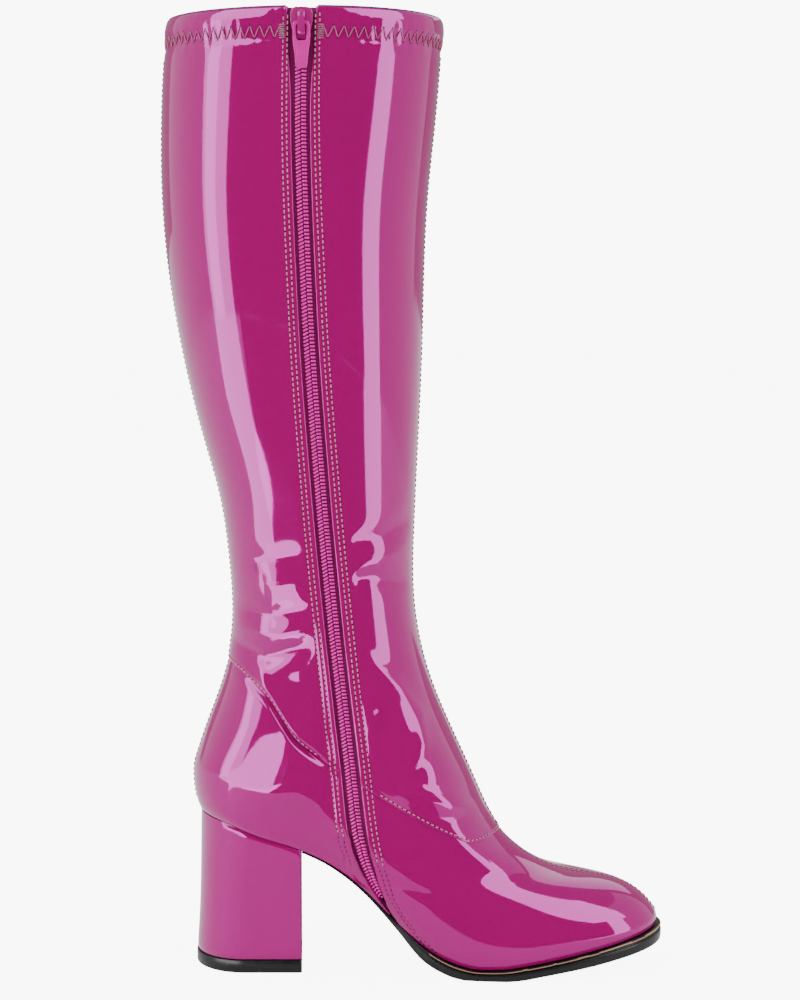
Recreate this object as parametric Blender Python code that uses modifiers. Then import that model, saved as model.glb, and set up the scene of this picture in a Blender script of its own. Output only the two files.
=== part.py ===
"""Knee-high patent boot with a rounded toe, a covered block heel and a zip up its inner side, left foot.

Metres, +Z up, toe towards +X, inner side towards -Y. The origin is the centre of the heel's resting face.
Sections of the foot and the leg are rings round the boot, from the feather edge above the sole up to the
collar. Every other piece takes its place from the same rings.
"""

import math

import bmesh
import bpy
import numpy as np
from mathutils import Matrix, Vector

NAME = "go_go_boot"

# Foot
FOOT_LENGTH = 0.2280  # back of the seat to the tip of the toe
FOOT_WIDTH = 0.0820  # across the ball
SEAT_HEIGHT = 0.0774  # floor to the back of the seat

# Leg
BOOT_HEIGHT = 0.4640  # floor to the collar
CALF_DEPTH = 0.1330
CALF_WIDTH = 0.1070

# Heel
HEEL_DEPTH = 0.0540  # back to breast, at the floor
HEEL_WIDTH = 0.0522
TIP_THICK = 0.0065
BREAST_SKEW = 0.0022  # the breast sits this much further back on the outer side
BREAST_CORNER = 0.0015
FLOOR_BEVEL = 0.0006

# Walls and layers
WALL = 0.0018
LAP = 0.0006  # step where the leg panel laps over the foot panels
SOLE_LIP = 0.0027  # how far the sole stands out past the upper
SHANK_THICK = 0.0010  # least thickness of the sole, along the shank
INSOLE_THICK = 0.0030
GAP = 0.0003

# Zip
TAPE_WIDTH = 0.0230
TAPE_THICK = 0.0008
COIL_WIDTH = 0.0062
COIL_THICK = 0.0018
SLIDER_WIDTH = 0.0104
SLIDER_LENGTH = 0.0146
SLIDER_PLATE = 0.0013
SLIDER_POST = 0.0022  # width of the post between the slider's two plates
BRIDGE_LENGTH = 0.0120
BRIDGE_WIDTH = 0.0034
BRIDGE_RISE = 0.0022  # clear height under the bridge
BRIDGE_THICK = 0.0013
PULL_LENGTH = 0.0215
PULL_WIDTH = 0.0080
PULL_THICK = 0.0014
PULL_PLAY = 0.0007  # between the pull's eye and the sides of the bridge

POST_DROP = 0.0058  # from the slider's top down to the foot of its post

BACK_X = -0.45 * HEEL_DEPTH
BREAST_X = 0.50 * HEEL_DEPTH
LEG_X = BACK_X + 0.226 * FOOT_LENGTH

# Seam line between upper and sole, seen from the side: along as a share of FOOT_LENGTH, up of SEAT_HEIGHT
SOLE_TOP = (
    # along, up
    (-0.030, 1.006),
    (0.000, 1.000),
    (0.054, 0.973),
    (0.132, 0.893),
    (0.209, 0.814),
    (0.272, 0.724),
    (0.323, 0.623),
    (0.364, 0.523),
    (0.405, 0.404),
    (0.446, 0.288),
    (0.487, 0.190),
    (0.522, 0.130),
    (0.563, 0.085),
    (0.607, 0.064),
    (0.648, 0.067),
    (0.710, 0.093),
    (0.772, 0.127),
    (0.840, 0.167),
    (0.908, 0.207),
    (0.951, 0.231),
    (1.020, 0.271),
)

# Tread line, same shares: flat on the floor under the ball, sprung at the toe, thin along the shank
TREAD = (
    # along, up
    (0.180, 0.832),
    (0.209, 0.799),
    (0.272, 0.708),
    (0.323, 0.603),
    (0.364, 0.496),
    (0.405, 0.367),
    (0.426, 0.297),
    (0.446, 0.229),
    (0.466, 0.160),
    (0.487, 0.101),
    (0.522, 0.043),
    (0.556, 0.009),
    (0.580, 0.000),
    (0.662, 0.000),
    (0.695, 0.008),
    (0.735, 0.029),
    (0.786, 0.054),
    (0.839, 0.079),
    (0.893, 0.106),
    (0.950, 0.132),
    (1.020, 0.160),
)

# Width of the sole's lip: along as a share of FOOT_LENGTH, lip of SOLE_LIP
LIP = (
    # along, lip
    (0.180, -0.30),
    (0.420, -0.20),
    (0.450, 0.15),
    (0.490, 0.60),
    (0.540, 0.90),
    (0.700, 1.00),
    (0.900, 1.05),
    (1.020, 1.15),
)

# Edge of the sole: drop as a share of its thickness, out of its lip, less a cut in shares of SOLE_LIP
SOLE_EDGE = (
    # drop, out, cut
    (0.00, 1.0, 0.22),
    (0.10, 1.0, 0.02),
    (0.24, 1.0, 0.30),
    (0.34, 1.0, 0.04),
    (0.82, 1.0, 0.00),
    (1.00, 1.0, 0.20),
)

# Where a ring's widths are given, in degrees round from the toe or shin
STATIONS = (15.0, 50.0, 80.0, 108.0, 150.0)

# Rings of the foot: front and back of each ring along and up, in shares of FOOT_LENGTH and SEAT_HEIGHT,
# how much of the sole line's arch it follows, and half widths at the stations in shares of FOOT_WIDTH
FOOT_RINGS = (
    # front_along, front_up, back_along, back_up, arch, toe, joint, instep, waist, seat
    (0.997, 0.261, 0.000, 1.000, 1.000, 0.625, 0.569, 0.472, 0.338, 0.625),
    (1.000, 0.304, -0.006, 1.040, 0.985, 0.638, 0.588, 0.490, 0.358, 0.650),
    (0.991, 0.362, -0.011, 1.098, 0.950, 0.628, 0.592, 0.500, 0.380, 0.662),
    (0.966, 0.443, -0.0145, 1.182, 0.860, 0.590, 0.565, 0.496, 0.414, 0.662),
    (0.914, 0.532, -0.0145, 1.273, 0.680, 0.450, 0.488, 0.476, 0.438, 0.655),
    (0.808, 0.594, -0.005, 1.382, 0.450, 0.350, 0.438, 0.462, 0.452, 0.635),
    (0.725, 0.687, 0.017, 1.570, 0.250, 0.330, 0.468, 0.450, 0.452, 0.580),
    (0.650, 0.892, 0.050, 1.835, 0.100, 0.405, 0.490, 0.449, 0.452, 0.515),
    (0.593, 1.227, 0.0675, 2.093, 0.020, 0.440, 0.485, 0.450, 0.445, 0.465),
    (0.536, 1.597, 0.0725, 2.274, 0.000, 0.440, 0.473, 0.450, 0.440, 0.450),
)

# Rings of the leg: front and back of each ring from the leg's axis in shares of CALF_DEPTH, their heights in
# shares of BOOT_HEIGHT, half width in shares of CALF_WIDTH and how much fuller the ring is behind
LEG_RINGS = (
    # front, front_up, back, back_up, half, fuller
    (0.461, 0.319, -0.266, 0.4095, 0.338, 0.00),
    (0.4135, 0.388, -0.278, 0.448, 0.338, 0.00),
    (0.4105, 0.466, -0.3045, 0.500, 0.356, 0.01),
    (0.424, 0.552, -0.365, 0.565, 0.396, 0.02),
    (0.440, 0.655, -0.440, 0.655, 0.452, 0.03),
    (0.447, 0.736, -0.487, 0.736, 0.482, 0.03),
    (0.460, 0.816, -0.5105, 0.816, 0.498, 0.02),
    (0.4895, 0.901, -0.511, 0.901, 0.497, -0.01),
    (0.507, 0.961, -0.500, 0.961, 0.490, -0.03),
    (0.5165, 1.000, -0.486, 1.000, 0.486, -0.05),
)

# How the middle of the foot swings in plan: degrees round from the toe, shift outwards in shares of FOOT_WIDTH
SWING = (
    # angle, shift
    (0.0, -0.036),
    (40.0, -0.012),
    (75.0, 0.018),
    (108.0, 0.016),
    (150.0, 0.002),
    (180.0, 0.000),
)

# Ankle seam from the side: along as a share of FOOT_LENGTH, up of SEAT_HEIGHT
ANKLE_SEAM = (
    # along, up
    (0.040, 1.995),
    (0.063, 1.977),
    (0.082, 1.950),
    (0.116, 1.880),
    (0.160, 1.766),
    (0.190, 1.640),
    (0.212, 1.540),
    (0.240, 1.462),
    (0.294, 1.349),
    (0.384, 1.180),
    (0.464, 1.039),
    (0.545, 0.912),
    (0.601, 0.846),
    (0.652, 0.872),
    (0.700, 0.900),
)

# Line of the zip from the side: up as a share of BOOT_HEIGHT, along as a share of FOOT_LENGTH from the leg's axis
ZIP_LINE = (
    # up, along
    (0.030, 0.225),
    (0.058, 0.197),
    (0.079, 0.170),
    (0.108, 0.143),
    (0.151, 0.121),
    (0.228, 0.103),
    (0.338, 0.078),
    (0.506, 0.046),
    (0.709, 0.020),
    (0.894, 0.009),
    (1.000, 0.012),
)

# Half width of the zip's slot: up as a share of BOOT_HEIGHT, half as a share of COIL_WIDTH
SLOT = (
    # up, half
    (0.062, 0.10),
    (0.078, 0.20),
    (0.092, 0.42),
    (0.110, 0.62),
    (0.145, 0.70),
    (0.220, 0.68),
    (0.900, 0.68),
    (0.935, 0.80),
    (0.965, 1.00),
    (1.000, 1.06),
)

# Heel from the side: up as a share of its height, back and half width in shares of HEEL_DEPTH and HEEL_WIDTH
HEEL_LEVELS = (
    # up, back, half
    (0.00, -0.494, 0.500),
    (0.08, -0.487, 0.497),
    (0.30, -0.470, 0.490),
    (0.60, -0.458, 0.497),
    (0.85, -0.452, 0.515),
    (1.00, -0.449, 0.528),
)

# Rows up the foot panels, in shares of the way from the feather edge to the ankle seam
FOOT_ROWS = (0.0, 0.075, 0.16, 0.27, 0.40, 0.53, 0.66, 0.78, 0.89, 1.0)
LEG_ROWS = 20
FRONT_COLUMNS = 11
BACK_COLUMNS = 12
OUTER_COLUMNS = 24

COLOURS = {
    # colour, roughness, metallic
    "patent": ((0.402, 0.012, 0.175, 1.0), 0.12, 0.0),
    "lining": ((0.290, 0.012, 0.120, 1.0), 0.80, 0.0),
    "black_rubber": ((0.012, 0.012, 0.013, 1.0), 0.35, 0.0),
    "zip_pink": ((0.680, 0.070, 0.380, 1.0), 0.45, 0.0),
    "zip_paint": ((0.640, 0.060, 0.350, 1.0), 0.30, 0.2),
}


def monotone(table):
    """Interpolates a two-column table smoothly, with no overshoot between its rows."""
    xs, ys = np.array(table, float).T
    step = np.diff(xs)
    rise = np.diff(ys) / step
    slope = np.zeros(len(xs))
    slope[0] = rise[0]
    slope[-1] = rise[-1]
    for i in range(1, len(xs) - 1):
        if rise[i - 1] * rise[i] > 0:
            before = 2 * step[i] + step[i - 1]
            after = step[i] + 2 * step[i - 1]
            slope[i] = (before + after) / (before / rise[i - 1] + after / rise[i])

    def value(x):
        i = int(np.clip(np.searchsorted(xs, x) - 1, 0, len(xs) - 2))
        u = min(max((x - xs[i]) / step[i], 0.0), 1.0)
        return (
            (2 * u**3 - 3 * u**2 + 1) * ys[i]
            + (u**3 - 2 * u**2 + u) * step[i] * slope[i]
            + (3 * u**2 - 2 * u**3) * ys[i + 1]
            + (u**3 - u**2) * step[i] * slope[i + 1]
        )

    return value


def natural(xs, rows):
    """Interpolates rows of numbers at xs by a natural cubic spline, every column at once."""
    xs = np.array(xs, float)
    rows = np.array(rows, float)
    count = len(xs)
    step = np.diff(xs)
    matrix = np.eye(count)
    right = np.zeros_like(rows)
    for i in range(1, count - 1):
        matrix[i, i - 1] = step[i - 1]
        matrix[i, i] = 2 * (step[i - 1] + step[i])
        matrix[i, i + 1] = step[i]
        right[i] = 6 * ((rows[i + 1] - rows[i]) / step[i] - (rows[i] - rows[i - 1]) / step[i - 1])
    bend = np.linalg.solve(matrix, right)

    def value(x):
        x = min(max(x, xs[0]), xs[-1])
        i = int(np.clip(np.searchsorted(xs, x) - 1, 0, count - 2))
        a = (xs[i + 1] - x) / step[i]
        b = 1.0 - a
        curve = ((a**3 - a) * bend[i] + (b**3 - b) * bend[i + 1]) * step[i] ** 2 / 6
        return a * rows[i] + b * rows[i + 1] + curve

    return value


def scaled(table, first, second, shift=0.0):
    """Turns a table of shares into lengths."""
    return [(shift + a * first, b * second) for a, b in table]


sole_top = monotone(scaled(SOLE_TOP, FOOT_LENGTH, SEAT_HEIGHT, BACK_X))
tread = monotone(scaled(TREAD, FOOT_LENGTH, SEAT_HEIGHT, BACK_X))
lip = monotone(scaled(LIP, FOOT_LENGTH, SOLE_LIP, BACK_X))
ankle_seam = monotone(scaled(ANKLE_SEAM, FOOT_LENGTH, SEAT_HEIGHT, BACK_X))
swing = monotone(scaled(SWING, math.radians(1.0), FOOT_WIDTH))
zip_line = monotone([(up * BOOT_HEIGHT, LEG_X + along * FOOT_LENGTH) for up, along in ZIP_LINE])
slot_half = monotone(scaled(SLOT, BOOT_HEIGHT, COIL_WIDTH))


def ring_rows():
    """Every ring as lengths: front x and z, back x and z, arch, swing, then half widths at the stations."""
    rows = []
    for front_along, front_up, back_along, back_up, arch, *widths in FOOT_RINGS:
        place = [BACK_X + front_along * FOOT_LENGTH, front_up * SEAT_HEIGHT]
        place += [BACK_X + back_along * FOOT_LENGTH, back_up * SEAT_HEIGHT]
        rows.append(place + [arch, arch**0.5] + [w * FOOT_WIDTH for w in widths])
    for front, front_up, back, back_up, half, fuller in LEG_RINGS:
        place = [LEG_X + front * CALF_DEPTH, front_up * BOOT_HEIGHT]
        place += [LEG_X + back * CALF_DEPTH, back_up * BOOT_HEIGHT]
        widths = [half * CALF_WIDTH * (1 - fuller * math.cos(math.radians(s))) for s in STATIONS]
        rows.append(place + [0.0, 0.0] + widths)
    return rows


def ring_heights(rows):
    """How far up the boot each ring lies, as the mean run along its front and its back."""
    run = [0.0]
    for below, above in zip(rows, rows[1:]):
        front = math.dist(below[:2], above[:2])
        back = math.dist(below[2:4], above[2:4])
        run.append(run[-1] + 0.5 * (front + back))
    return run


RING_ROWS = ring_rows()
RING_RUN = ring_heights(RING_ROWS)
TOP_RUN = RING_RUN[-1]
ring_at = natural(RING_RUN, RING_ROWS)
ANGLES = np.radians(np.array((0.0,) + STATIONS + (180.0,)))


def width_at(widths, angle):
    """Half width of a ring at an angle, before the sine that closes it at front and back."""
    ends = np.concatenate(([widths[0]], widths, [widths[-1]]))
    return natural(ANGLES, ends)(angle)


def surface(angle, run, side, depth=0.0):
    """A point of the boot's outer surface, or one that lies a depth inside it.

    angle runs from 0 at the toe and shin to pi at the heel and calf, on the inner side (-1) or the outer (+1).
    """
    if depth:
        return surface(angle, run, side) - outward(angle, run, side) * depth
    ring = ring_at(run)
    front_x, front_z, back_x, back_z, arch, sway = ring[:6]
    share = 0.5 - 0.5 * math.cos(angle)
    x = front_x + (back_x - front_x) * share
    z = front_z + (back_z - front_z) * share
    if arch > 0.0:
        base = RING_ROWS[0]
        base_x = base[0] + (base[2] - base[0]) * share
        base_z = base[1] + (base[3] - base[1]) * share
        z += arch * (sole_top(base_x) - base_z)
    y = side * width_at(ring[6:], angle) * math.sin(angle) + max(sway, 0.0) * swing(angle)
    return Vector((x, y, z))


def outward(angle, run, side):
    """The surface's normal, pointing out of the boot."""
    small = 0.01
    low = max(run - 0.0005, 0.0)
    high = min(run + 0.0005, TOP_RUN)
    across = surface(min(angle + small, math.pi - 1e-4), run, side) - surface(max(angle - small, 1e-4), run, side)
    up = surface(angle, high, side) - surface(angle, low, side)
    return (across.cross(up) * side).normalized()


def solve(function, low, high):
    """Root of a function that rises from low to high."""
    for _ in range(40):
        middle = 0.5 * (low + high)
        if function(middle) < 0:
            low = middle
        else:
            high = middle
    return 0.5 * (low + high)


def seam_run(angle, side):
    """How far up the boot the ankle seam crosses an angle."""

    def above(run):
        point = surface(angle, run, side)
        return point.z - ankle_seam(point.x)

    return solve(above, RING_RUN[4], RING_RUN[12])


def zip_angle(run):
    """Angle of the zip's middle at a height up the boot, on the inner side."""

    def behind(angle):
        point = surface(angle, run, -1)
        return zip_line(point.z) - point.x

    return solve(behind, math.radians(20), math.radians(160))


def zip_run(height):
    """How far up the boot the zip's middle reaches a height above the floor."""
    return solve(lambda run: surface(zip_angle(run), run, -1).z - height, 0.0, TOP_RUN)


def zip_frame(run, depth=0.0):
    """Place, across and outward directions of the zip's middle, at a depth inside the surface."""
    angle = zip_angle(run)
    place = surface(angle, run, -1, depth)
    out = outward(angle, run, -1)
    small = 0.002
    above = min(run + small, TOP_RUN)
    below = max(run - small, 0.0)
    along = surface(zip_angle(above), above, -1) - surface(zip_angle(below), below, -1)
    across = along.cross(out).normalized()
    return place, across, out


def across_zip(run):
    """How far a unit of angle moves a point squarely across the zip."""
    _, across, _ = zip_frame(run)
    middle = zip_angle(run)
    moved = surface(middle + 0.01, run, -1) - surface(middle - 0.01, run, -1)
    return abs(moved.dot(across)) / 0.02


def material(name):
    """A Principled material in one of the boot's colours."""
    if name in bpy.data.materials:
        return bpy.data.materials[name]
    colour, rough, metal = COLOURS[name]
    made = bpy.data.materials.new(name)
    made.use_nodes = True
    shader = made.node_tree.nodes["Principled BSDF"]
    shader.inputs["Base Color"].default_value = colour
    shader.inputs["Roughness"].default_value = rough
    shader.inputs["Metallic"].default_value = metal
    made.diffuse_color = colour
    return made


def place_object(name, mesh, finish, collection, parent=None):
    """Links a mesh as a named object of the boot."""
    made = bpy.data.objects.new(name, mesh)
    collection.objects.link(made)
    if finish:
        mesh.materials.append(material(finish))
    made.parent = parent
    return made


def finish_mesh(name, work, sharp=35.0):
    """Closes a bmesh into a mesh with its normals outwards and shaded smooth."""
    bmesh.ops.remove_doubles(work, verts=work.verts, dist=1e-6)
    bmesh.ops.recalc_face_normals(work, faces=work.faces)
    if work.calc_volume(signed=True) < 0:
        bmesh.ops.reverse_faces(work, faces=work.faces)
    mesh = bpy.data.meshes.new(name)
    work.to_mesh(mesh)
    work.free()
    mesh.shade_smooth()
    mesh.set_sharp_from_angle(angle=math.radians(sharp))
    return mesh


def loft(name, sections, sharp=35.0):
    """Skins closed sections of equal count and caps the first and the last."""
    work = bmesh.new()
    rings = [[work.verts.new(p) for p in section] for section in sections]
    count = len(rings[0])
    for one, two in zip(rings, rings[1:]):
        for i in range(count):
            j = (i + 1) % count
            work.faces.new((one[i], one[j], two[j], two[i]))
    for ring in (rings[0], rings[-1]):
        for i in range(count // 2 - 1):
            far = count - 1 - i
            work.faces.new((ring[i], ring[i + 1], ring[far - 1], ring[far]))
    bmesh.ops.remove_doubles(work, verts=work.verts, dist=1e-6)
    bmesh.ops.dissolve_degenerate(work, edges=work.edges, dist=1e-6)
    return finish_mesh(name, work, sharp)


def upper_columns():
    """Columns of the upper's grid as (side, place) pairs, from one edge of the zip's slot round to the other."""
    columns = []
    for i in range(FRONT_COLUMNS + 1):
        columns.append((-1, -i / FRONT_COLUMNS))
    columns.reverse()
    columns = columns[:-1]
    for i in range(OUTER_COLUMNS + 1):
        columns.append((1, i / OUTER_COLUMNS))
    for i in range(1, BACK_COLUMNS + 1):
        columns.append((-1, i / BACK_COLUMNS))
    return columns


def column_angle(side, place, run):
    """Angle of a column at a height: the inner side's columns spread between the slot and the two centre lines."""
    if side > 0:
        return math.pi * place
    middle = zip_angle(run)
    half = slot_half(surface(middle, run, -1).z) / across_zip(run)
    if place <= 0:
        return (middle - half) * -place if place > -1 else middle - half
    return math.pi - (math.pi - middle - half) * place


def build_upper(collection):
    """The upper: foot panels and leg panel as one hollow wall, open above, below and down the zip."""
    work = bmesh.new()
    columns = upper_columns()
    grid = []
    for side, place in columns:
        seam = seam_run(math.pi * abs(place) if side > 0 else column_angle(side, place, RING_RUN[7]), side)
        runs = [(share * seam, LAP * share**6) for share in FOOT_ROWS]
        for k in range(LEG_ROWS + 1):
            share = k / LEG_ROWS
            ease = share + 0.10 * share * (share - 1.0)
            runs.append((seam + 0.0004 + (TOP_RUN - seam - 0.0004) * ease, 0.0))
        column = []
        for run, depth in runs:
            angle = column_angle(side, place, run)
            column.append(work.verts.new(surface(angle, run, side, depth)))
        grid.append(column)
    rows = len(grid[0])
    for a in range(len(grid)):
        b = (a + 1) % len(grid)
        if b == 0:
            continue
        for k in range(rows - 1):
            work.faces.new((grid[a][k], grid[b][k], grid[b][k + 1], grid[a][k + 1]))
    for vert in work.verts:
        vert.co.z += 0.5 * GAP * max(0.0, 1.0 - max(0.0, vert.co.z - sole_top(vert.co.x)) / 0.01)
    bmesh.ops.recalc_face_normals(work, faces=work.faces)
    mesh = bpy.data.meshes.new("upper")
    work.to_mesh(mesh)
    work.free()
    mesh.shade_smooth()
    made = place_object("upper", mesh, "patent", collection)
    wall = made.modifiers.new("wall", "SOLIDIFY")
    wall.thickness = WALL
    wall.offset = -1.0
    wall.use_rim = True
    return made


def feather(along_angle, side, out):
    """A point of the feather edge moved outwards in plan."""
    small = 0.004
    point = surface(along_angle, 0.0, side)
    ahead = surface(max(along_angle - small, 0.0), 0.0, side)
    behind = surface(along_angle + small, 0.0, side)
    run = behind - ahead
    normal = Vector((run.y, -run.x, 0.0)) * side
    if along_angle < 1e-4:
        normal = Vector((1.0, 0.0, 0.0))
    normal.normalize()
    return point + normal * out


def angle_at(x):
    """Angle round the feather edge at a place along the foot."""
    front_x = RING_ROWS[0][0]
    back_x = RING_ROWS[0][2]
    share = min(max((x - front_x) / (back_x - front_x), 0.0), 1.0)
    return math.acos(1.0 - 2.0 * share)


def sole_stations():
    """Places along the sole: close together round the toe, one at each end of the flat under the ball."""
    toe = RING_ROWS[0][0]
    flat_front = BACK_X + 0.652 * FOOT_LENGTH
    flat_back = BACK_X + 0.590 * FOOT_LENGTH
    places = [toe - (toe - flat_front) * (1 - math.cos(0.5 * math.pi * i / 14)) for i in range(15)]
    places.append(flat_back)
    end = BREAST_X + GAP
    places += [flat_back + (end - flat_back) * i / 16 for i in range(1, 17)]
    return places


def build_outsole(collection):
    """The outsole: a lipped and grooved forepart and a thin shank, ending at the heel's breast."""
    sections = []
    stations = sole_stations()
    for number, x in enumerate(stations):
        angle = angle_at(x)
        section = []
        for side in (-1, 1):
            edge = []
            for drop, out, cut in SOLE_EDGE:
                full = lip(x)
                reach = full * out - cut * SOLE_LIP * min(1.0, max(0.2, full / SOLE_LIP))
                point = feather(angle, side, reach)
                if number == len(stations) - 1:
                    point.x = breast_at(point.y) + GAP
                high = sole_top(point.x) - 0.5 * GAP
                low = min(tread(point.x), high - SHANK_THICK)
                point.z = high + (low - high) * drop
                edge.append(point)
            section += edge if side < 0 else edge[::-1]
        sections.append(section)
    return place_object("outsole", loft("outsole", sections), "black_rubber", collection)


def build_insole(collection):
    """The insole: a thin board inside the foot, from toe to seat."""
    sections = []
    inset = -(WALL + 0.0007)
    count = 34
    for i in range(count + 1):
        angle = math.pi * i / count
        points = []
        for side in (-1, 1):
            point = feather(angle, side, inset)
            if i == 0:
                point = surface(0.0, 0.0, 1) + Vector((inset, 0.0, 0.0))
            if i == count:
                point = surface(math.pi, 0.0, 1) - Vector((inset, 0.0, 0.0))
            points.append(point)
        low = [sole_top(p.x) + 0.5 * GAP for p in points]
        bottom = [Vector((p.x, p.y, z)) for p, z in zip(points, low)]
        top = [Vector((p.x, p.y, z + INSOLE_THICK)) for p, z in zip(points, low)]
        sections.append([bottom[0], top[0], top[1], bottom[1]])
    return place_object("insole", loft("insole", sections), "lining", collection)


def breast_at(y):
    """Where the breast of the heel lies, from the inner side (y below 0) to the outer side."""
    return BREAST_X - BREAST_SKEW * (0.5 + y / HEEL_WIDTH)


def heel_outline(back, half):
    """Plan of the heel: a round back, straight sides and a flat breast, inner side first."""
    centre = back + half * 0.98
    corner = BREAST_CORNER
    sides = {}
    for side in (-1, 1):
        points = []
        breast = breast_at(side * half)
        for i in range(3):
            turn = 0.5 * math.pi * i / 2
            y = half - corner + corner * math.sin(turn)
            points.append((breast - corner + corner * math.cos(turn), side * y))
        for i in range(11):
            turn = 0.5 * math.pi * i / 10
            points.append((centre - (centre - back) * math.sin(turn), side * half * math.cos(turn)))
        sides[side] = points
    return sides[-1] + sides[1][-2::-1]


def build_heel(collection):
    """The covered block heel, its top shaped to the seat."""
    sections = []
    bottom = TIP_THICK + GAP
    for up, back, half in HEEL_LEVELS:
        outline = heel_outline(back * HEEL_DEPTH, half * HEEL_WIDTH)
        section = []
        for x, y in outline:
            top = sole_top(x) - 0.5 * GAP
            section.append(Vector((x, y, bottom + (top - bottom) * up)))
        sections.append(section)
    count = len(sections[0])
    work = bmesh.new()
    rings = [[work.verts.new(p) for p in section] for section in sections]
    for one, two in zip(rings, rings[1:]):
        for i in range(count):
            j = (i + 1) % count
            work.faces.new((one[i], one[j], two[j], two[i]))
    for ring in (rings[0], rings[-1]):
        for i in range(count // 2):
            far = count - 1 - i
            if far - 1 == i + 1:
                work.faces.new((ring[i], ring[i + 1], ring[far]))
            elif far - 1 > i + 1:
                work.faces.new((ring[i], ring[i + 1], ring[far - 1], ring[far]))
    return place_object("heel", finish_mesh("heel", work), "patent", collection)


def build_heel_tip(collection):
    """The top lift, with a small bevel round the floor edge."""
    outline = heel_outline(-0.498 * HEEL_DEPTH, 0.504 * HEEL_WIDTH)
    work = bmesh.new()
    ring = [work.verts.new((x, y, 0.0)) for x, y in outline]
    face = work.faces.new(ring)
    lifted = bmesh.ops.extrude_face_region(work, geom=[face])
    moved = [v for v in lifted["geom"] if isinstance(v, bmesh.types.BMVert)]
    bmesh.ops.translate(work, verts=moved, vec=(0.0, 0.0, TIP_THICK))
    mesh = finish_mesh("heel_tip", work)
    made = place_object("heel_tip", mesh, "black_rubber", collection)
    soft = made.modifiers.new("floor_edge", "BEVEL")
    soft.width = FLOOR_BEVEL
    soft.segments = 1
    soft.limit_method = "ANGLE"
    soft.angle_limit = math.radians(60)
    return made


def zip_sections(runs, outline, depth):
    """Sections of a strip along the zip: outline points are (across, outward) from a depth inside the surface."""
    sections = []
    for run in runs:
        place, across, out = zip_frame(run, depth)
        sections.append([place + across * a + out * o for a, o in outline])
    return sections


TAPE_DEPTH = WALL + LAP + GAP


def zip_stations():
    """Heights up the boot where the tape and the coils have their sections, closer together in the bend at the foot."""
    low = solve(tape_clear, 0.0, RING_RUN[8])
    return [low + (TOP_RUN - low) * (i / 30) ** 1.25 for i in range(31)]


def build_tape(collection, notch):
    """The zip's tape, a strip behind the slot, parted above the slider's post."""
    work = bmesh.new()
    grid = []
    for run in zip_stations():
        middle = zip_angle(run)
        half = 0.5 * TAPE_WIDTH / across_zip(run)
        row = []
        for share in (-1.0, -0.5, 0.0, 0.5, 1.0):
            row.append(work.verts.new(surface(middle + share * half, run, -1, TAPE_DEPTH)))
        grid.append(row)
    for one, two in zip(grid, grid[1:]):
        for i in range(len(one) - 1):
            work.faces.new((one[i], one[i + 1], two[i + 1], two[i]))
    for vert in work.verts:
        vert.co.z = min(vert.co.z, BOOT_HEIGHT - 0.0004)
    mesh = bpy.data.meshes.new("zip_tape")
    work.to_mesh(mesh)
    work.free()
    mesh.shade_smooth()
    if mesh.polygons[0].normal.y > 0:
        mesh.flip_normals()
    made = place_object("zip_tape", mesh, "lining", collection)
    wall = made.modifiers.new("weave", "SOLIDIFY")
    wall.thickness = TAPE_THICK
    wall.offset = -1.0
    parting = made.modifiers.new("parting", "BOOLEAN")
    parting.object = notch
    parting.operation = "DIFFERENCE"
    return made


def tape_clear(run):
    """Positive where the zip's middle is clear above the insole."""
    point = surface(zip_angle(run), run, -1)
    return point.z - sole_top(point.x) - INSOLE_THICK - 4 * GAP


def build_coils(collection, slider_foot):
    """The two halves of the coil chain, side by side in the slot."""
    half = 0.5 * COIL_WIDTH
    low = solve(lambda run: slot_half(surface(zip_angle(run), run, -1).z) - half - 3 * GAP, 0.0, RING_RUN[8])
    high = zip_run(slider_foot)
    runs = [low] + [run for run in zip_stations() if low + 0.001 < run < high - 0.001] + [high]
    inner = 0.5 * GAP
    profile = (
        (inner, 0.0),
        (inner, 0.78 * COIL_THICK),
        (0.35 * half, COIL_THICK),
        (0.75 * half, 0.92 * COIL_THICK),
        (half, 0.50 * COIL_THICK),
        (half, 0.0),
    )
    for name, side in (("zip_coil_front", 1), ("zip_coil_back", -1)):
        outline = [(side * a, o) for a, o in profile]
        sections = zip_sections(runs, outline, TAPE_DEPTH - GAP)
        place_object(name, loft(name, sections), "zip_pink", collection)


def shield(name, levels, thick, place, outward_y):
    """A flat plate across the zip: levels are (up, half width), thick runs outwards from the place."""
    work = bmesh.new()
    ring = [work.verts.new((place.x + half, place.y, place.z + up)) for up, half in levels]
    ring += [work.verts.new((place.x - half, place.y, place.z + up)) for up, half in reversed(levels)]
    face = work.faces.new(ring)
    lifted = bmesh.ops.extrude_face_region(work, geom=[face])
    moved = [v for v in lifted["geom"] if isinstance(v, bmesh.types.BMVert)]
    bmesh.ops.translate(work, verts=moved, vec=(0.0, outward_y * thick, 0.0))
    return finish_mesh(name, work)


def box(name, low, high, collection):
    """A box between two corners, kept as a tool of the boolean modifiers."""
    work = bmesh.new()
    size = Vector(high) - Vector(low)
    middle = (Vector(high) + Vector(low)) * 0.5
    bmesh.ops.create_cube(work, size=1.0, matrix=Matrix.Translation(middle) @ Matrix.Diagonal((*size, 1.0)))
    made = place_object(name, finish_mesh(name, work), None, collection)
    made.hide_render = True
    made.display_type = "WIRE"
    return made


def join(made, tool, operation="UNION"):
    """Adds a boolean modifier."""
    step = made.modifiers.new(tool.name, "BOOLEAN")
    step.object = tool
    step.operation = operation


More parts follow.
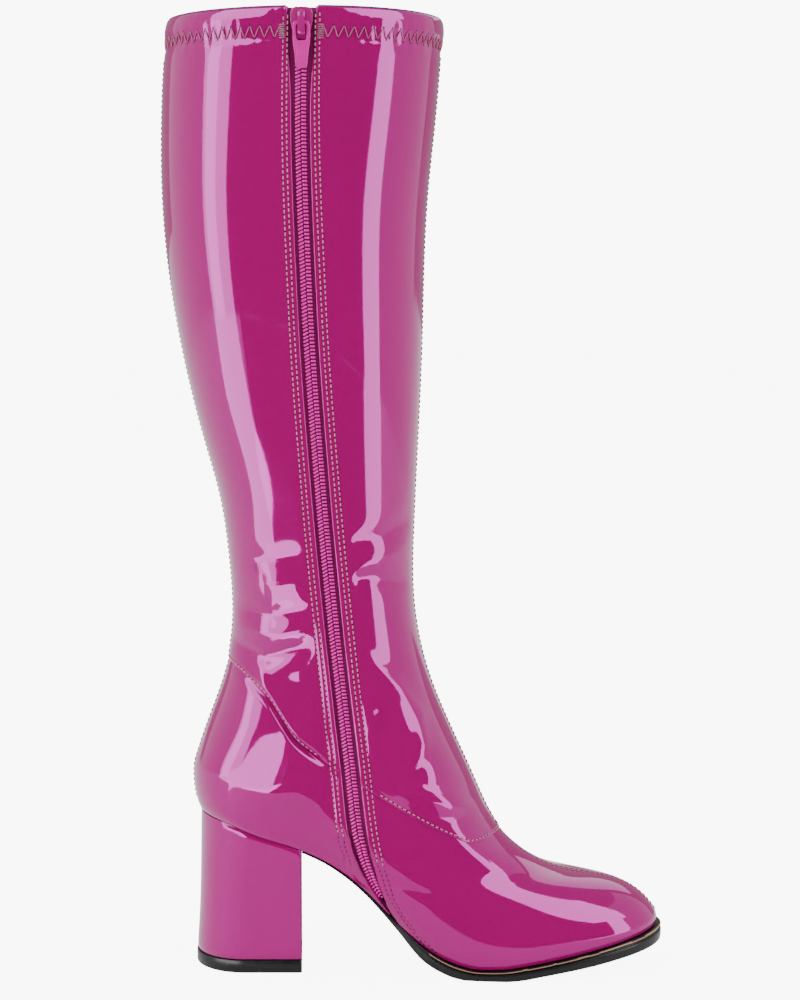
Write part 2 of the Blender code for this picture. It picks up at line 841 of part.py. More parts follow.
def build_slider(collection, cutters, seat):
    """The slider: outer plate and bridge, inner plate behind the tape, and the post that joins them."""
    length = 0.5 * SLIDER_LENGTH
    half = 0.5 * SLIDER_WIDTH
    levels = [(length, 0.72 * half), (0.62 * length, half), (0.15 * length, half)]
    levels += [(-0.45 * length, 0.80 * half), (-0.9 * length, 0.74 * half), (-length, 0.60 * half)]
    face = seat.y + TAPE_DEPTH - GAP - COIL_THICK - GAP
    plate = shield("zip_slider", levels, SLIDER_PLATE, Vector((seat.x, face, seat.z)), -1)
    made = place_object("zip_slider", plate, "zip_paint", collection)
    behind = seat.y + TAPE_DEPTH + TAPE_THICK + 2 * GAP
    back_levels = [(up * 0.96, width * 0.92) for up, width in levels]
    back = shield("inner_plate", back_levels, SLIDER_PLATE, Vector((seat.x, behind, seat.z)), 1)
    inner = place_object("inner_plate", back, None, cutters)
    inner.hide_render = True
    inner.display_type = "WIRE"
    join(made, inner)
    high = seat.z + length
    post = box(
        "post",
        (seat.x - 0.5 * SLIDER_POST, face - 0.3 * SLIDER_PLATE, high - POST_DROP + GAP),
        (seat.x + 0.5 * SLIDER_POST, behind + 0.3 * SLIDER_PLATE, high - 0.25 * POST_DROP),
        cutters,
    )
    join(made, post)
    outer = face - SLIDER_PLATE
    end = 0.5 * BRIDGE_LENGTH
    leg = end - 1.2 * BRIDGE_THICK
    root = -0.3 * SLIDER_PLATE
    for name, low, top, near, far in (
        ("bridge_bar", -end, end, BRIDGE_RISE, BRIDGE_RISE + BRIDGE_THICK),
        ("bridge_head", leg, end, root, BRIDGE_RISE + 0.5 * BRIDGE_THICK),
        ("bridge_foot", -end, -leg, root, BRIDGE_RISE + 0.5 * BRIDGE_THICK),
    ):
        part = box(
            name,
            (seat.x - 0.5 * BRIDGE_WIDTH, outer - far, seat.z + low),
            (seat.x + 0.5 * BRIDGE_WIDTH, outer - near, seat.z + top),
            cutters,
        )
        join(made, part)
    return outer


def build_pull(collection, cutters, hinge):
    """The pull tab: an eye round the bridge and a tapering tab, hanging from its cross bar."""
    half = 0.5 * PULL_WIDTH
    top = 0.5 * PULL_THICK
    levels = [(top, 0.80 * half), (0.0, half), (-0.42 * PULL_LENGTH, half), (-0.55 * PULL_LENGTH, 0.86 * half)]
    levels += [(-0.93 * PULL_LENGTH, 0.66 * half), (top - PULL_LENGTH, 0.45 * half)]
    start = Vector((0.0, 0.5 * PULL_THICK, 0.0))
    made = place_object("zip_pull", shield("zip_pull", levels, PULL_THICK, start, -1), "zip_paint", collection)
    made.location = hinge
    eye_half = 0.5 * BRIDGE_WIDTH + PULL_PLAY
    eye = box(
        "pull_eye",
        (hinge.x - eye_half, hinge.y - 2 * PULL_THICK, hinge.z - 0.5 * BRIDGE_LENGTH - BRIDGE_RISE),
        (hinge.x + eye_half, hinge.y + 2 * PULL_THICK, hinge.z - 0.5 * PULL_THICK),
        cutters,
    )
    join(made, eye, "DIFFERENCE")
    return made


def main():
    """Clears the scene and builds every piece of the boot."""
    for old in list(bpy.data.objects):
        bpy.data.objects.remove(old, do_unlink=True)
    parts = bpy.data.collections.new(NAME)
    cutters = bpy.data.collections.new("cutters")
    bpy.context.scene.collection.children.link(parts)
    bpy.context.scene.collection.children.link(cutters)

    build_upper(parts)
    build_outsole(parts)
    build_insole(parts)
    build_heel(parts)
    build_heel_tip(parts)

    slider_z = BOOT_HEIGHT - 2 * GAP - 0.5 * SLIDER_LENGTH
    seat = surface(zip_angle(zip_run(slider_z)), zip_run(slider_z), -1)
    foot = seat.z + 0.5 * SLIDER_LENGTH - POST_DROP
    part_half = 0.5 * SLIDER_POST + 1.5 * GAP
    notch = box(
        "tape_parting",
        (seat.x - part_half, seat.y - TAPE_WIDTH, foot),
        (seat.x + part_half, seat.y + TAPE_WIDTH, BOOT_HEIGHT + TAPE_WIDTH),
        cutters,
    )
    build_tape(parts, notch)
    build_coils(parts, foot)
    outer = build_slider(parts, cutters, seat)
    build_pull(parts, cutters, Vector((seat.x, outer - 0.5 * BRIDGE_RISE, seat.z)))
    bpy.context.view_layer.update()


main()
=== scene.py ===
"""Looks of a knee-high patent boot with a covered block heel and a zip up its inner side.

Metres, +Z up, toe towards +X, inner side towards -Y. Every class builds one sub-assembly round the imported
frame: the patent upper with its folds, the lining, the zip, the seams, the sole, the heel and the studio.
"""

import logging
import math
from dataclasses import dataclass
from enum import Enum
from typing import Callable, Sequence

import bmesh
import bpy
import numpy as np
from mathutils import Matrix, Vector


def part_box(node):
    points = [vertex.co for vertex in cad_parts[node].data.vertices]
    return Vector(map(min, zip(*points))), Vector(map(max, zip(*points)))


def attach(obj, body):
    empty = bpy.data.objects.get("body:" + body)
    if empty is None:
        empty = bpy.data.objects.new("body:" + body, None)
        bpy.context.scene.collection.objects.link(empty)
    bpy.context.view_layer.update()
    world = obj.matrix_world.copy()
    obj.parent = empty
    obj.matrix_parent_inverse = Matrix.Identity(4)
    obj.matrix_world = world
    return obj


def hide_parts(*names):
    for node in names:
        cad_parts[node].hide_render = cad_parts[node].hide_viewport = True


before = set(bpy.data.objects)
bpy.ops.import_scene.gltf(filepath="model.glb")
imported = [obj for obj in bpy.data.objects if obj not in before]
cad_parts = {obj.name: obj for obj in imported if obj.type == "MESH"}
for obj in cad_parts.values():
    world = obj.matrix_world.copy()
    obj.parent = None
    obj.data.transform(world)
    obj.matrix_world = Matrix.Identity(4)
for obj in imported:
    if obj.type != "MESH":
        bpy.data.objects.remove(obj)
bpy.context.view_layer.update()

LOG = logging.getLogger("boot")

# Seam line between upper and sole from the side: along as a share of the foot's length, up of the seat's height
SOLE_TOP = (
    (-0.030, 1.006), (0.000, 1.000), (0.054, 0.973), (0.132, 0.893), (0.209, 0.814), (0.272, 0.724),
    (0.323, 0.623), (0.364, 0.523), (0.405, 0.404), (0.446, 0.288), (0.487, 0.190), (0.522, 0.130),
    (0.563, 0.085), (0.607, 0.064), (0.648, 0.067), (0.710, 0.093), (0.772, 0.127), (0.840, 0.167),
    (0.908, 0.207), (0.951, 0.231), (1.020, 0.271),
)

# Tread line, same shares
TREAD = (
    (0.180, 0.832), (0.209, 0.799), (0.272, 0.708), (0.323, 0.603), (0.364, 0.496), (0.405, 0.367),
    (0.426, 0.297), (0.446, 0.229), (0.466, 0.160), (0.487, 0.101), (0.522, 0.043), (0.556, 0.009),
    (0.580, 0.000), (0.662, 0.000), (0.695, 0.008), (0.735, 0.029), (0.786, 0.054), (0.839, 0.079),
    (0.893, 0.106), (0.950, 0.132), (1.020, 0.160),
)

# Lip of the sole: along as a share of the foot's length, lip as a share of the full lip
LIP = (
    (0.180, -0.30), (0.420, -0.20), (0.450, 0.15), (0.490, 0.60), (0.540, 0.90), (0.700, 1.00),
    (0.900, 1.05), (1.020, 1.15),
)

STATIONS = (15.0, 50.0, 80.0, 108.0, 150.0)

# Foot rings: front along and up, back along and up, arch, then half widths at the stations
FOOT_RINGS = (
    (0.997, 0.261, 0.000, 1.000, 1.000, 0.625, 0.569, 0.472, 0.338, 0.625),
    (1.000, 0.304, -0.006, 1.040, 0.985, 0.638, 0.588, 0.490, 0.358, 0.650),
    (0.991, 0.362, -0.011, 1.098, 0.950, 0.628, 0.592, 0.500, 0.380, 0.662),
    (0.966, 0.443, -0.0145, 1.182, 0.860, 0.590, 0.565, 0.496, 0.414, 0.662),
    (0.914, 0.532, -0.0145, 1.273, 0.680, 0.450, 0.488, 0.476, 0.438, 0.655),
    (0.808, 0.594, -0.005, 1.382, 0.450, 0.350, 0.438, 0.462, 0.452, 0.635),
    (0.725, 0.687, 0.017, 1.570, 0.250, 0.330, 0.468, 0.450, 0.452, 0.580),
    (0.650, 0.892, 0.050, 1.835, 0.100, 0.405, 0.490, 0.449, 0.452, 0.515),
    (0.593, 1.227, 0.0675, 2.093, 0.020, 0.440, 0.485, 0.450, 0.445, 0.465),
    (0.536, 1.597, 0.0725, 2.274, 0.000, 0.440, 0.473, 0.450, 0.440, 0.450),
)

# Leg rings: front, its height, back, its height, half width, fuller behind
LEG_RINGS = (
    (0.461, 0.319, -0.266, 0.4095, 0.338, 0.00),
    (0.4135, 0.388, -0.278, 0.448, 0.338, 0.00),
    (0.4105, 0.466, -0.3045, 0.500, 0.356, 0.01),
    (0.424, 0.552, -0.365, 0.565, 0.396, 0.02),
    (0.440, 0.655, -0.440, 0.655, 0.452, 0.03),
    (0.447, 0.736, -0.487, 0.736, 0.482, 0.03),
    (0.460, 0.816, -0.5105, 0.816, 0.498, 0.02),
    (0.4895, 0.901, -0.511, 0.901, 0.497, -0.01),
    (0.507, 0.961, -0.500, 0.961, 0.490, -0.03),
    (0.5165, 1.000, -0.486, 1.000, 0.486, -0.05),
)

# Sideways swing of the middle of the foot in plan: degrees from the toe, shift as a share of the foot's width
SWING = ((0.0, -0.036), (40.0, -0.012), (75.0, 0.018), (108.0, 0.016), (150.0, 0.002), (180.0, 0.000))

# Ankle seam from the side
ANKLE_SEAM = (
    (0.040, 1.995), (0.063, 1.977), (0.082, 1.950), (0.116, 1.880), (0.160, 1.766), (0.190, 1.640),
    (0.212, 1.540), (0.240, 1.462), (0.294, 1.349), (0.384, 1.180), (0.464, 1.039), (0.545, 0.912),
    (0.601, 0.846), (0.652, 0.872), (0.700, 0.900),
)

# The zip from the side: up as a share of the boot's height, along as a share of the foot's length
ZIP_LINE = (
    (0.030, 0.225), (0.058, 0.197), (0.079, 0.170), (0.108, 0.143), (0.151, 0.121), (0.228, 0.103),
    (0.338, 0.078), (0.506, 0.046), (0.709, 0.020), (0.894, 0.009), (1.000, 0.012),
)

# Half width of the zip's slot: up as a share of the boot's height, half as a share of the coil's width
SLOT = (
    (0.062, 0.10), (0.078, 0.20), (0.092, 0.42), (0.110, 0.62), (0.145, 0.70), (0.220, 0.68),
    (0.900, 0.68), (0.935, 0.80), (0.965, 1.00), (1.000, 1.06),
)

# Heel from the side: up as a share of its height, back and half width as shares of its depth and width
HEEL_LEVELS = (
    (0.00, -0.494, 0.500), (0.08, -0.487, 0.497), (0.30, -0.470, 0.490), (0.60, -0.458, 0.497),
    (0.85, -0.452, 0.515), (1.00, -0.449, 0.528),
)

# Stitch rows beside the zip: distance from the zip's middle at the collar and what it gains down to the sole
STITCH_LINES = ((0.0064, 0.0008), (0.0084, 0.0012))

# Steps over which directions are measured: up the boot and round it, and up along the zip
RUN_STEP, ANGLE_STEP, ZIP_STEP = 0.0005, 0.01, 0.002

# Halvings of a root's bounds
HALVINGS = 34

# Edge of the sole: down as a share of its height, in as a share of the full lip
SOLE_EDGE = (
    (0.00, 0.30), (0.02, 0.16), (0.06, 0.07), (0.11, 0.05), (0.15, 0.09), (0.17, 0.24), (0.20, 0.34),
    (0.24, 0.36), (0.28, 0.30), (0.31, 0.10), (0.35, 0.03), (0.42, 0.00), (0.55, 0.00), (0.70, 0.01),
    (0.82, 0.03), (0.91, 0.10), (0.97, 0.22), (1.00, 0.42),
)

# Top lift: height of each ring and its inset, in metres
TOP_LIFT = ((0.0, 0.0007), (0.0002, 0.0003), (0.0006, 0.0), (0.0060, 0.0), (0.0063, 0.0002), (0.0065, 0.0007))

# Slider's shield: up as a share of its half length, half width as a share of its own
SHIELD = (
    (1.00, 0.50), (0.96, 0.70), (0.80, 0.92), (0.58, 1.00), (0.15, 0.99), (-0.20, 0.90),
    (-0.50, 0.79), (-0.84, 0.74), (-0.96, 0.66), (-1.00, 0.48),
)

# Sides of the pull tab: up as a share of its length, half width as a share of its own
PULL_SIDE = ((-0.42, 1.0), (-0.50, 0.93), (-0.60, 0.83), (-0.90, 0.68), (-0.965, 0.56))

# Swells of the counter: height, then rise and fall along the foot, and rise and fall up it, in metres
COUNTER = (
    (0.0030, (-0.012, 0.025), (0.026, 0.052), (0.076, 0.096), (0.120, 0.150)),
    (0.0016, (-0.020, 0.004), (0.020, 0.046), (0.088, 0.130), (0.132, 0.160)),
)

# Share of a fold's length over which its ends die out
FOLD_END = (-0.05, 0.28)

# Bent cards: name, azimuths, heights, distance and share of a softbox's radiance
WALLS = (
    ("dark_card", (-50.0, 54.0), (-0.2, 2.4), 1.705, 0.0),
    ("softbox_back", (-73.0, -50.0), (0.0, 2.6), 1.7, 0.85),
    ("softbox_back_core", (-70.0, -60.0), (0.0, 2.6), 1.68, 1.3),
    ("softbox_front", (54.0, 70.0), (0.0, 2.2), 1.7, 1.0),
    ("wall_back", (-125.0, -72.0), (0.0, 2.2), 1.8, 0.15),
    ("wall_toe", (69.0, 125.0), (0.0, 2.2), 1.8, 0.14),
    ("low_card", (-62.0, -24.0), (0.0, 0.114), 0.36, 1.2),
)

# Cards overhead: name, first azimuth at each elevation, last azimuth, elevations and share
DOMES = (
    ("bank_front", (44.0, 26.0, 24.0), 76.0, (27.0, 40.0, 60.0), 1.0),
    ("bank_back", (-40.0, -22.0, -20.0), -74.0, (33.0, 40.0, 60.0), 1.0),
    ("bank_far", (130.0, 130.0), 160.0, (31.0, 62.0), 0.30),
)

# Cards on the floor: name, near edge, azimuths of the far edge and share
FRONT_EDGE = ((-0.24, -0.215), (0.01, -0.22), (0.07, -0.135), (0.15, -0.125), (0.27, -0.30))
TABLES = (
    ("table_front", FRONT_EDGE, (-46.0, 53.0), 0.0),
    ("table_back", ((-0.80, -0.215), (-0.20, -0.215)), (-73.0, -50.0), 1.1),
    ("table_toe", ((0.27, -0.30), (0.50, -0.22)), (53.0, 71.0), 1.0),
)
TABLE_NEAR = (
    ((-0.40, -0.213, 0.004), (-0.06, -0.213, 0.004)), ((-0.50, -0.46, 0.004), (-0.09, -0.46, 0.004)),
)


class Body(Enum):
    """The two moving bodies of the frame."""

    BOOT = "boot"
    PULL = "pull"


class Slot(Enum):
    """The record's material slots."""

    PATENT = "patent"
    RUBBER = "black_rubber"
    LINING = "lining"
    COIL = "zip_pink"
    ENAMEL = "zip_paint"


class Curve:
    """A smooth line through a two-column table, with no overshoot between its rows."""

    def __init__(self, rows: Sequence[Sequence[float]], first: float, second: float, shift: float = 0.0) -> None:
        """Fits the line.

        Args:
            rows: The table, in shares.
            first: Length that a share of 1 in the first column stands for.
            second: Length that a share of 1 in the second column stands for.
            shift: Length added to the first column.
        """
        table = np.array(rows, float)
        self.x = shift + table[:, 0] * first
        self.y = table[:, 1] * second
        self.step = np.diff(self.x)
        rise = np.diff(self.y) / self.step
        self.slope = np.zeros(len(self.x))
        self.slope[0] = rise[0]
        self.slope[-1] = rise[-1]
        for i in range(1, len(self.x) - 1):
            if rise[i - 1] * rise[i] > 0:
                before = 2 * self.step[i] + self.step[i - 1]
                after = self.step[i] + 2 * self.step[i - 1]
                self.slope[i] = (before + after) / (before / rise[i - 1] + after / rise[i])

    def __call__(self, x: np.ndarray) -> np.ndarray:
        """Value of the line at each x."""
        x = np.asarray(x, float)
        i = np.clip(np.searchsorted(self.x, x) - 1, 0, len(self.x) - 2)
        u = np.clip((x - self.x[i]) / self.step[i], 0.0, 1.0)
        value = (2 * u**3 - 3 * u**2 + 1) * self.y[i]
        value = value + (u**3 - 2 * u**2 + u) * self.step[i] * self.slope[i]
        value = value + (3 * u**2 - 2 * u**3) * self.y[i + 1]
        return value + (u**3 - u**2) * self.step[i] * self.slope[i + 1]


class Spline:
    """A natural cubic spline through rows of numbers, every column at once."""

    def __init__(self, xs: np.ndarray, rows: np.ndarray) -> None:
        """Solves the spline's bends.

        Args:
            xs: Where the rows lie.
            rows: The numbers, one row for each x.
        """
        self.x = np.array(xs, float)
        self.rows = np.array(rows, float)
        self.step = np.diff(self.x)
        count = len(self.x)
        matrix = np.eye(count)
        right = np.zeros_like(self.rows)
        for i in range(1, count - 1):
            matrix[i, i - 1] = self.step[i - 1]
            matrix[i, i] = 2 * (self.step[i - 1] + self.step[i])
            matrix[i, i + 1] = self.step[i]
            after = (self.rows[i + 1] - self.rows[i]) / self.step[i]
            right[i] = 6 * (after - (self.rows[i] - self.rows[i - 1]) / self.step[i - 1])
        self.bend = np.linalg.solve(matrix, right)

    def __call__(self, x: np.ndarray) -> np.ndarray:
        """Rows of numbers at each x, along a new last axis."""
        x = np.clip(np.asarray(x, float), self.x[0], self.x[-1])
        i = np.clip(np.searchsorted(self.x, x) - 1, 0, len(self.x) - 2)
        a = ((self.x[i + 1] - x) / self.step[i])[..., None]
        b = 1.0 - a
        curve = (a**3 - a) * self.bend[i] + (b**3 - b) * self.bend[i + 1]
        return a * self.rows[i] + b * self.rows[i + 1] + curve * (self.step[i] ** 2)[..., None] / 6


def unit(vectors: np.ndarray) -> np.ndarray:
    """The vectors at length one."""
    return vectors / np.maximum(np.linalg.norm(vectors, axis=-1, keepdims=True), 1e-12)


def smooth(value: np.ndarray, low: float, high: float) -> np.ndarray:
    """Rises smoothly from 0 at low to 1 at high."""
    t = np.clip((np.asarray(value, float) - low) / (high - low), 0.0, 1.0)
    return t * t * (3 - 2 * t)


def travel(points: np.ndarray) -> np.ndarray:
    """Length along a line of points, up to each of them."""
    return np.concatenate(([0.0], np.cumsum(np.linalg.norm(np.diff(points, axis=0), axis=1))))


@dataclass(frozen=True)
class Sizes:
    """Sizes of the boot, in metres."""

    foot_length: float = 0.2280
    foot_width: float = 0.0820
    seat_height: float = 0.0774
    boot_height: float = 0.4640
    calf_depth: float = 0.1330
    calf_width: float = 0.1070
    heel_depth: float = 0.0540
    heel_width: float = 0.0522
    tip_thick: float = 0.0065
    breast_skew: float = 0.0022
    breast_corner: float = 0.0015
    wall: float = 0.0018
    lap: float = 0.0006
    sole_lip: float = 0.0027
    shank_thick: float = 0.0010
    gap: float = 0.0003
    coil_width: float = 0.0062

    @property
    def back_x(self) -> float:
        """Back of the seat."""
        return -0.45 * self.heel_depth

    @property
    def breast_x(self) -> float:
        """Breast of the heel."""
        return 0.50 * self.heel_depth

    @property
    def leg_x(self) -> float:
        """Axis of the leg."""
        return self.back_x + 0.226 * self.foot_length

    @property
    def tape_depth(self) -> float:
        """Depth of the zip's tape inside the outer surface."""
        return self.wall + self.lap + self.gap


class BootForm:
    """The outer surface of the boot, by angle round it, run up it and side."""

    def __init__(self, sizes: Sizes) -> None:
        """Fits the rings.

        Args:
            sizes: The boot's sizes.
        """
        self.sizes = sizes
        length, height, shift = sizes.foot_length, sizes.seat_height, sizes.back_x
        self.sole_top = Curve(SOLE_TOP, length, height, shift)
        self.tread = Curve(TREAD, length, height, shift)
        self.lip = Curve(LIP, length, sizes.sole_lip, shift)
        self.ankle_seam = Curve(ANKLE_SEAM, length, height, shift)
        self.swing = Curve(SWING, math.radians(1.0), sizes.foot_width)
        line = [(up, sizes.leg_x + along * length) for up, along in ZIP_LINE]
        self.zip_line = Curve(line, sizes.boot_height, 1.0)
        self.slot_half = Curve(SLOT, sizes.boot_height, sizes.coil_width)
        rows = self._rows()
        self.base = rows[0]
        self.runs = self._heights(rows)
        self.top = self.runs[-1]
        self.ring = Spline(self.runs, rows)
        knots = np.radians((0.0,) + STATIONS + (180.0,))
        shares = np.zeros((7, 5))
        shares[1:6] = np.eye(5)
        shares[0, 0] = 1.0
        shares[6, 4] = 1.0
        self.width_share = Spline(knots, shares)
        self.zip_runs = np.linspace(0.0, self.top, 700)
        self.zip_angles = self._solve_zip()

    def _rows(self) -> np.ndarray:
        """Every ring as lengths: front x and z, back x and z, arch, swing, then the half widths."""
        s = self.sizes
        rows = []
        for front_along, front_up, back_along, back_up, arch, *widths in FOOT_RINGS:
            place = [s.back_x + front_along * s.foot_length, front_up * s.seat_height]
            place += [s.back_x + back_along * s.foot_length, back_up * s.seat_height]
            rows.append(place + [arch, arch**0.5] + [w * s.foot_width for w in widths])
        for front, front_up, back, back_up, half, fuller in LEG_RINGS:
            place = [s.leg_x + front * s.calf_depth, front_up * s.boot_height]
            place += [s.leg_x + back * s.calf_depth, back_up * s.boot_height]
            widths = [half * s.calf_width * (1 - fuller * math.cos(math.radians(a))) for a in STATIONS]
            rows.append(place + [0.0, 0.0] + widths)
        return np.array(rows)

    def _heights(self, rows: np.ndarray) -> np.ndarray:
        """How far up the boot each ring lies."""
        front = np.linalg.norm(np.diff(rows[:, 0:2], axis=0), axis=1)
        back = np.linalg.norm(np.diff(rows[:, 2:4], axis=0), axis=1)
        return np.concatenate(([0.0], np.cumsum(0.5 * (front + back))))

    def surface(self, angle: np.ndarray, run: np.ndarray, side: np.ndarray) -> np.ndarray:
        """Points of the outer surface.

        Args:
            angle: From 0 at the toe and shin to pi at the heel and calf.
            run: How far up the boot.
            side: -1 on the inner side, +1 on the outer.

        Returns:
            Points along a new last axis.
        """
        angle, run, side = np.broadcast_arrays(np.asarray(angle, float), run, side)
        ring = self.ring(run)
        share = 0.5 - 0.5 * np.cos(angle)
        x = ring[..., 0] + (ring[..., 2] - ring[..., 0]) * share
        z = ring[..., 1] + (ring[..., 3] - ring[..., 1]) * share
        base_x = self.base[0] + (self.base[2] - self.base[0]) * share
        base_z = self.base[1] + (self.base[3] - self.base[1]) * share
        z = z + np.maximum(ring[..., 4], 0.0) * (self.sole_top(base_x) - base_z)
        half = (self.width_share(angle) * ring[..., 6:]).sum(-1)
        y = side * half * np.sin(angle) + np.maximum(ring[..., 5], 0.0) * self.swing(angle)
        return np.stack((x, y, z), -1)

    def outward(self, angle: np.ndarray, run: np.ndarray, side: np.ndarray) -> np.ndarray:
        """Unit normals of the surface, out of the boot."""
        angle, run, side = np.broadcast_arrays(np.asarray(angle, float), run, side)
        high = np.minimum(run + RUN_STEP, self.top)
        low = np.maximum(run - RUN_STEP, 0.0)
        ahead = np.minimum(angle + ANGLE_STEP, math.pi - 1e-4)
        across = self.surface(ahead, run, side) - self.surface(np.maximum(angle - ANGLE_STEP, 1e-4), run, side)
        up = self.surface(angle, high, side) - self.surface(angle, low, side)
        return unit(np.cross(across, up) * side[..., None])

    @staticmethod
    def bisect(function: Callable[[np.ndarray], np.ndarray], low: np.ndarray, high: np.ndarray) -> np.ndarray:
        """Roots of a function that rises from low to high, each on its own."""
        low = np.array(low, float)
        high = np.array(high, float)
        for _ in range(HALVINGS):
            middle = 0.5 * (low + high)
            under = function(middle) < 0
            low = np.where(under, middle, low)
            high = np.where(under, high, middle)
        return 0.5 * (low + high)

    def _solve_zip(self) -> np.ndarray:
        """Angle of the zip's middle at each of the tabled runs."""
        runs = self.zip_runs

        def behind(angle: np.ndarray) -> np.ndarray:
            """Positive where the surface is behind the zip."""
            point = self.surface(angle, runs, -1)
            return self.zip_line(point[..., 2]) - point[..., 0]

        return self.bisect(behind, np.full(len(runs), math.radians(20)), np.full(len(runs), math.radians(160)))

    def zip_angle(self, run: np.ndarray) -> np.ndarray:
        """Angle of the zip's middle."""
        return np.interp(run, self.zip_runs, self.zip_angles)

    def zip_run(self, height: float) -> float:
        """How far up the boot the zip's middle reaches a height."""
        heights = self.surface(self.zip_angles, self.zip_runs, -1)[:, 2]
        return float(np.interp(height, heights, self.zip_runs))

    def zip_frame(self, run: np.ndarray, depth: float = 0.0) -> tuple[np.ndarray, np.ndarray, np.ndarray, np.ndarray]:
        """Place, across, outward and along directions of the zip's middle."""
        run = np.asarray(run, float)
        angle = self.zip_angle(run)
        out = self.outward(angle, run, -1)
        place = self.surface(angle, run, -1) - out * depth
        above = np.minimum(run + ZIP_STEP, self.top)
        below = np.maximum(run - ZIP_STEP, 0.0)
        along = self.surface(self.zip_angle(above), above, -1) - self.surface(self.zip_angle(below), below, -1)
        return place, unit(np.cross(along, out)), out, unit(along)

    def per_metre(self, run: np.ndarray) -> np.ndarray:
        """Angle that moves a point a metre squarely across the zip."""
        _, across, _, _ = self.zip_frame(run)
        middle = self.zip_angle(run)
        moved = self.surface(middle + ANGLE_STEP, run, -1) - self.surface(middle - ANGLE_STEP, run, -1)
        return 2 * ANGLE_STEP / np.abs((moved * across).sum(-1))

    def slot_at(self, run: np.ndarray) -> np.ndarray:
        """Half width of the slot, in metres."""
        return self.slot_half(self.surface(self.zip_angle(run), run, -1)[..., 2])

    def stitch_line(self, run: np.ndarray, row: int) -> np.ndarray:
        """Distance of a stitch row from the slot's edge: row 0 is the nearer and 1 the farther."""
        down = 1.0 - np.asarray(run, float) / self.top
        near, spread = STITCH_LINES[row]
        return near + spread * down - self.slot_at(run)

    def beside_zip(self, run: np.ndarray, distance: float, way: int) -> np.ndarray:
        """Angle at a distance from the slot's edge: way -1 is towards the toe, +1 towards the heel."""
        return self.zip_angle(run) + way * (self.slot_at(run) + distance) * self.per_metre(run)

    def seam_run(self, angle: np.ndarray, side: np.ndarray) -> np.ndarray:
        """How far up the boot the ankle seam crosses each angle."""

        def above(run: np.ndarray) -> np.ndarray:
            """Positive above the seam."""
            point = self.surface(angle, run, side)
            return point[..., 2] - self.ankle_seam(point[..., 0])

        angle, side = np.broadcast_arrays(np.asarray(angle, float), side)
        return self.bisect(above, np.full(angle.shape, self.runs[4]), np.full(angle.shape, self.runs[12]))

    def feather(self, angle: np.ndarray, side: np.ndarray, out: np.ndarray) -> np.ndarray:
        """Points of the feather edge moved outwards in plan."""
        angle, side, out = np.broadcast_arrays(np.asarray(angle, float), side, out)
        point = self.surface(angle, 0.0, side)
        ahead = self.surface(np.maximum(angle - 0.004, 0.0), 0.0, side)
        behind = self.surface(angle + 0.004, 0.0, side)
        run = behind - ahead
        normal = np.stack((run[..., 1], -run[..., 0], np.zeros(run.shape[:-1])), -1) * side[..., None]
        normal = np.where((angle < 1e-4)[..., None], np.array((1.0, 0.0, 0.0)), normal)
        return point + unit(normal) * out[..., None]

    def angle_at(self, x: np.ndarray) -> np.ndarray:
        """Angle round the feather edge at a place along the foot."""
        share = np.clip((x - self.base[0]) / (self.base[2] - self.base[0]), 0.0, 1.0)
        return np.arccos(1.0 - 2.0 * share)

    def breast_at(self, y: np.ndarray) -> np.ndarray:
        """Where the breast of the heel lies."""
        return self.sizes.breast_x - self.sizes.breast_skew * (0.5 + y / self.sizes.heel_width)


# ---------------------------------------------------------------------------------------------- folds


@dataclass(frozen=True)
class Fold:
    """A soft trough or ridge that the wear of walking leaves in the patent.

    Attributes:
        path: Points from the side, along as shares of the foot's length and up of the boot's height.
        wide: Half width, in metres.
        rise: Height, in metres; a trough is below 0.
        steep: Share of the half width on the steeper, upper side.
    """

    path: tuple[tuple[float, float], ...]
    wide: float
    rise: float
    steep: float = 1.0


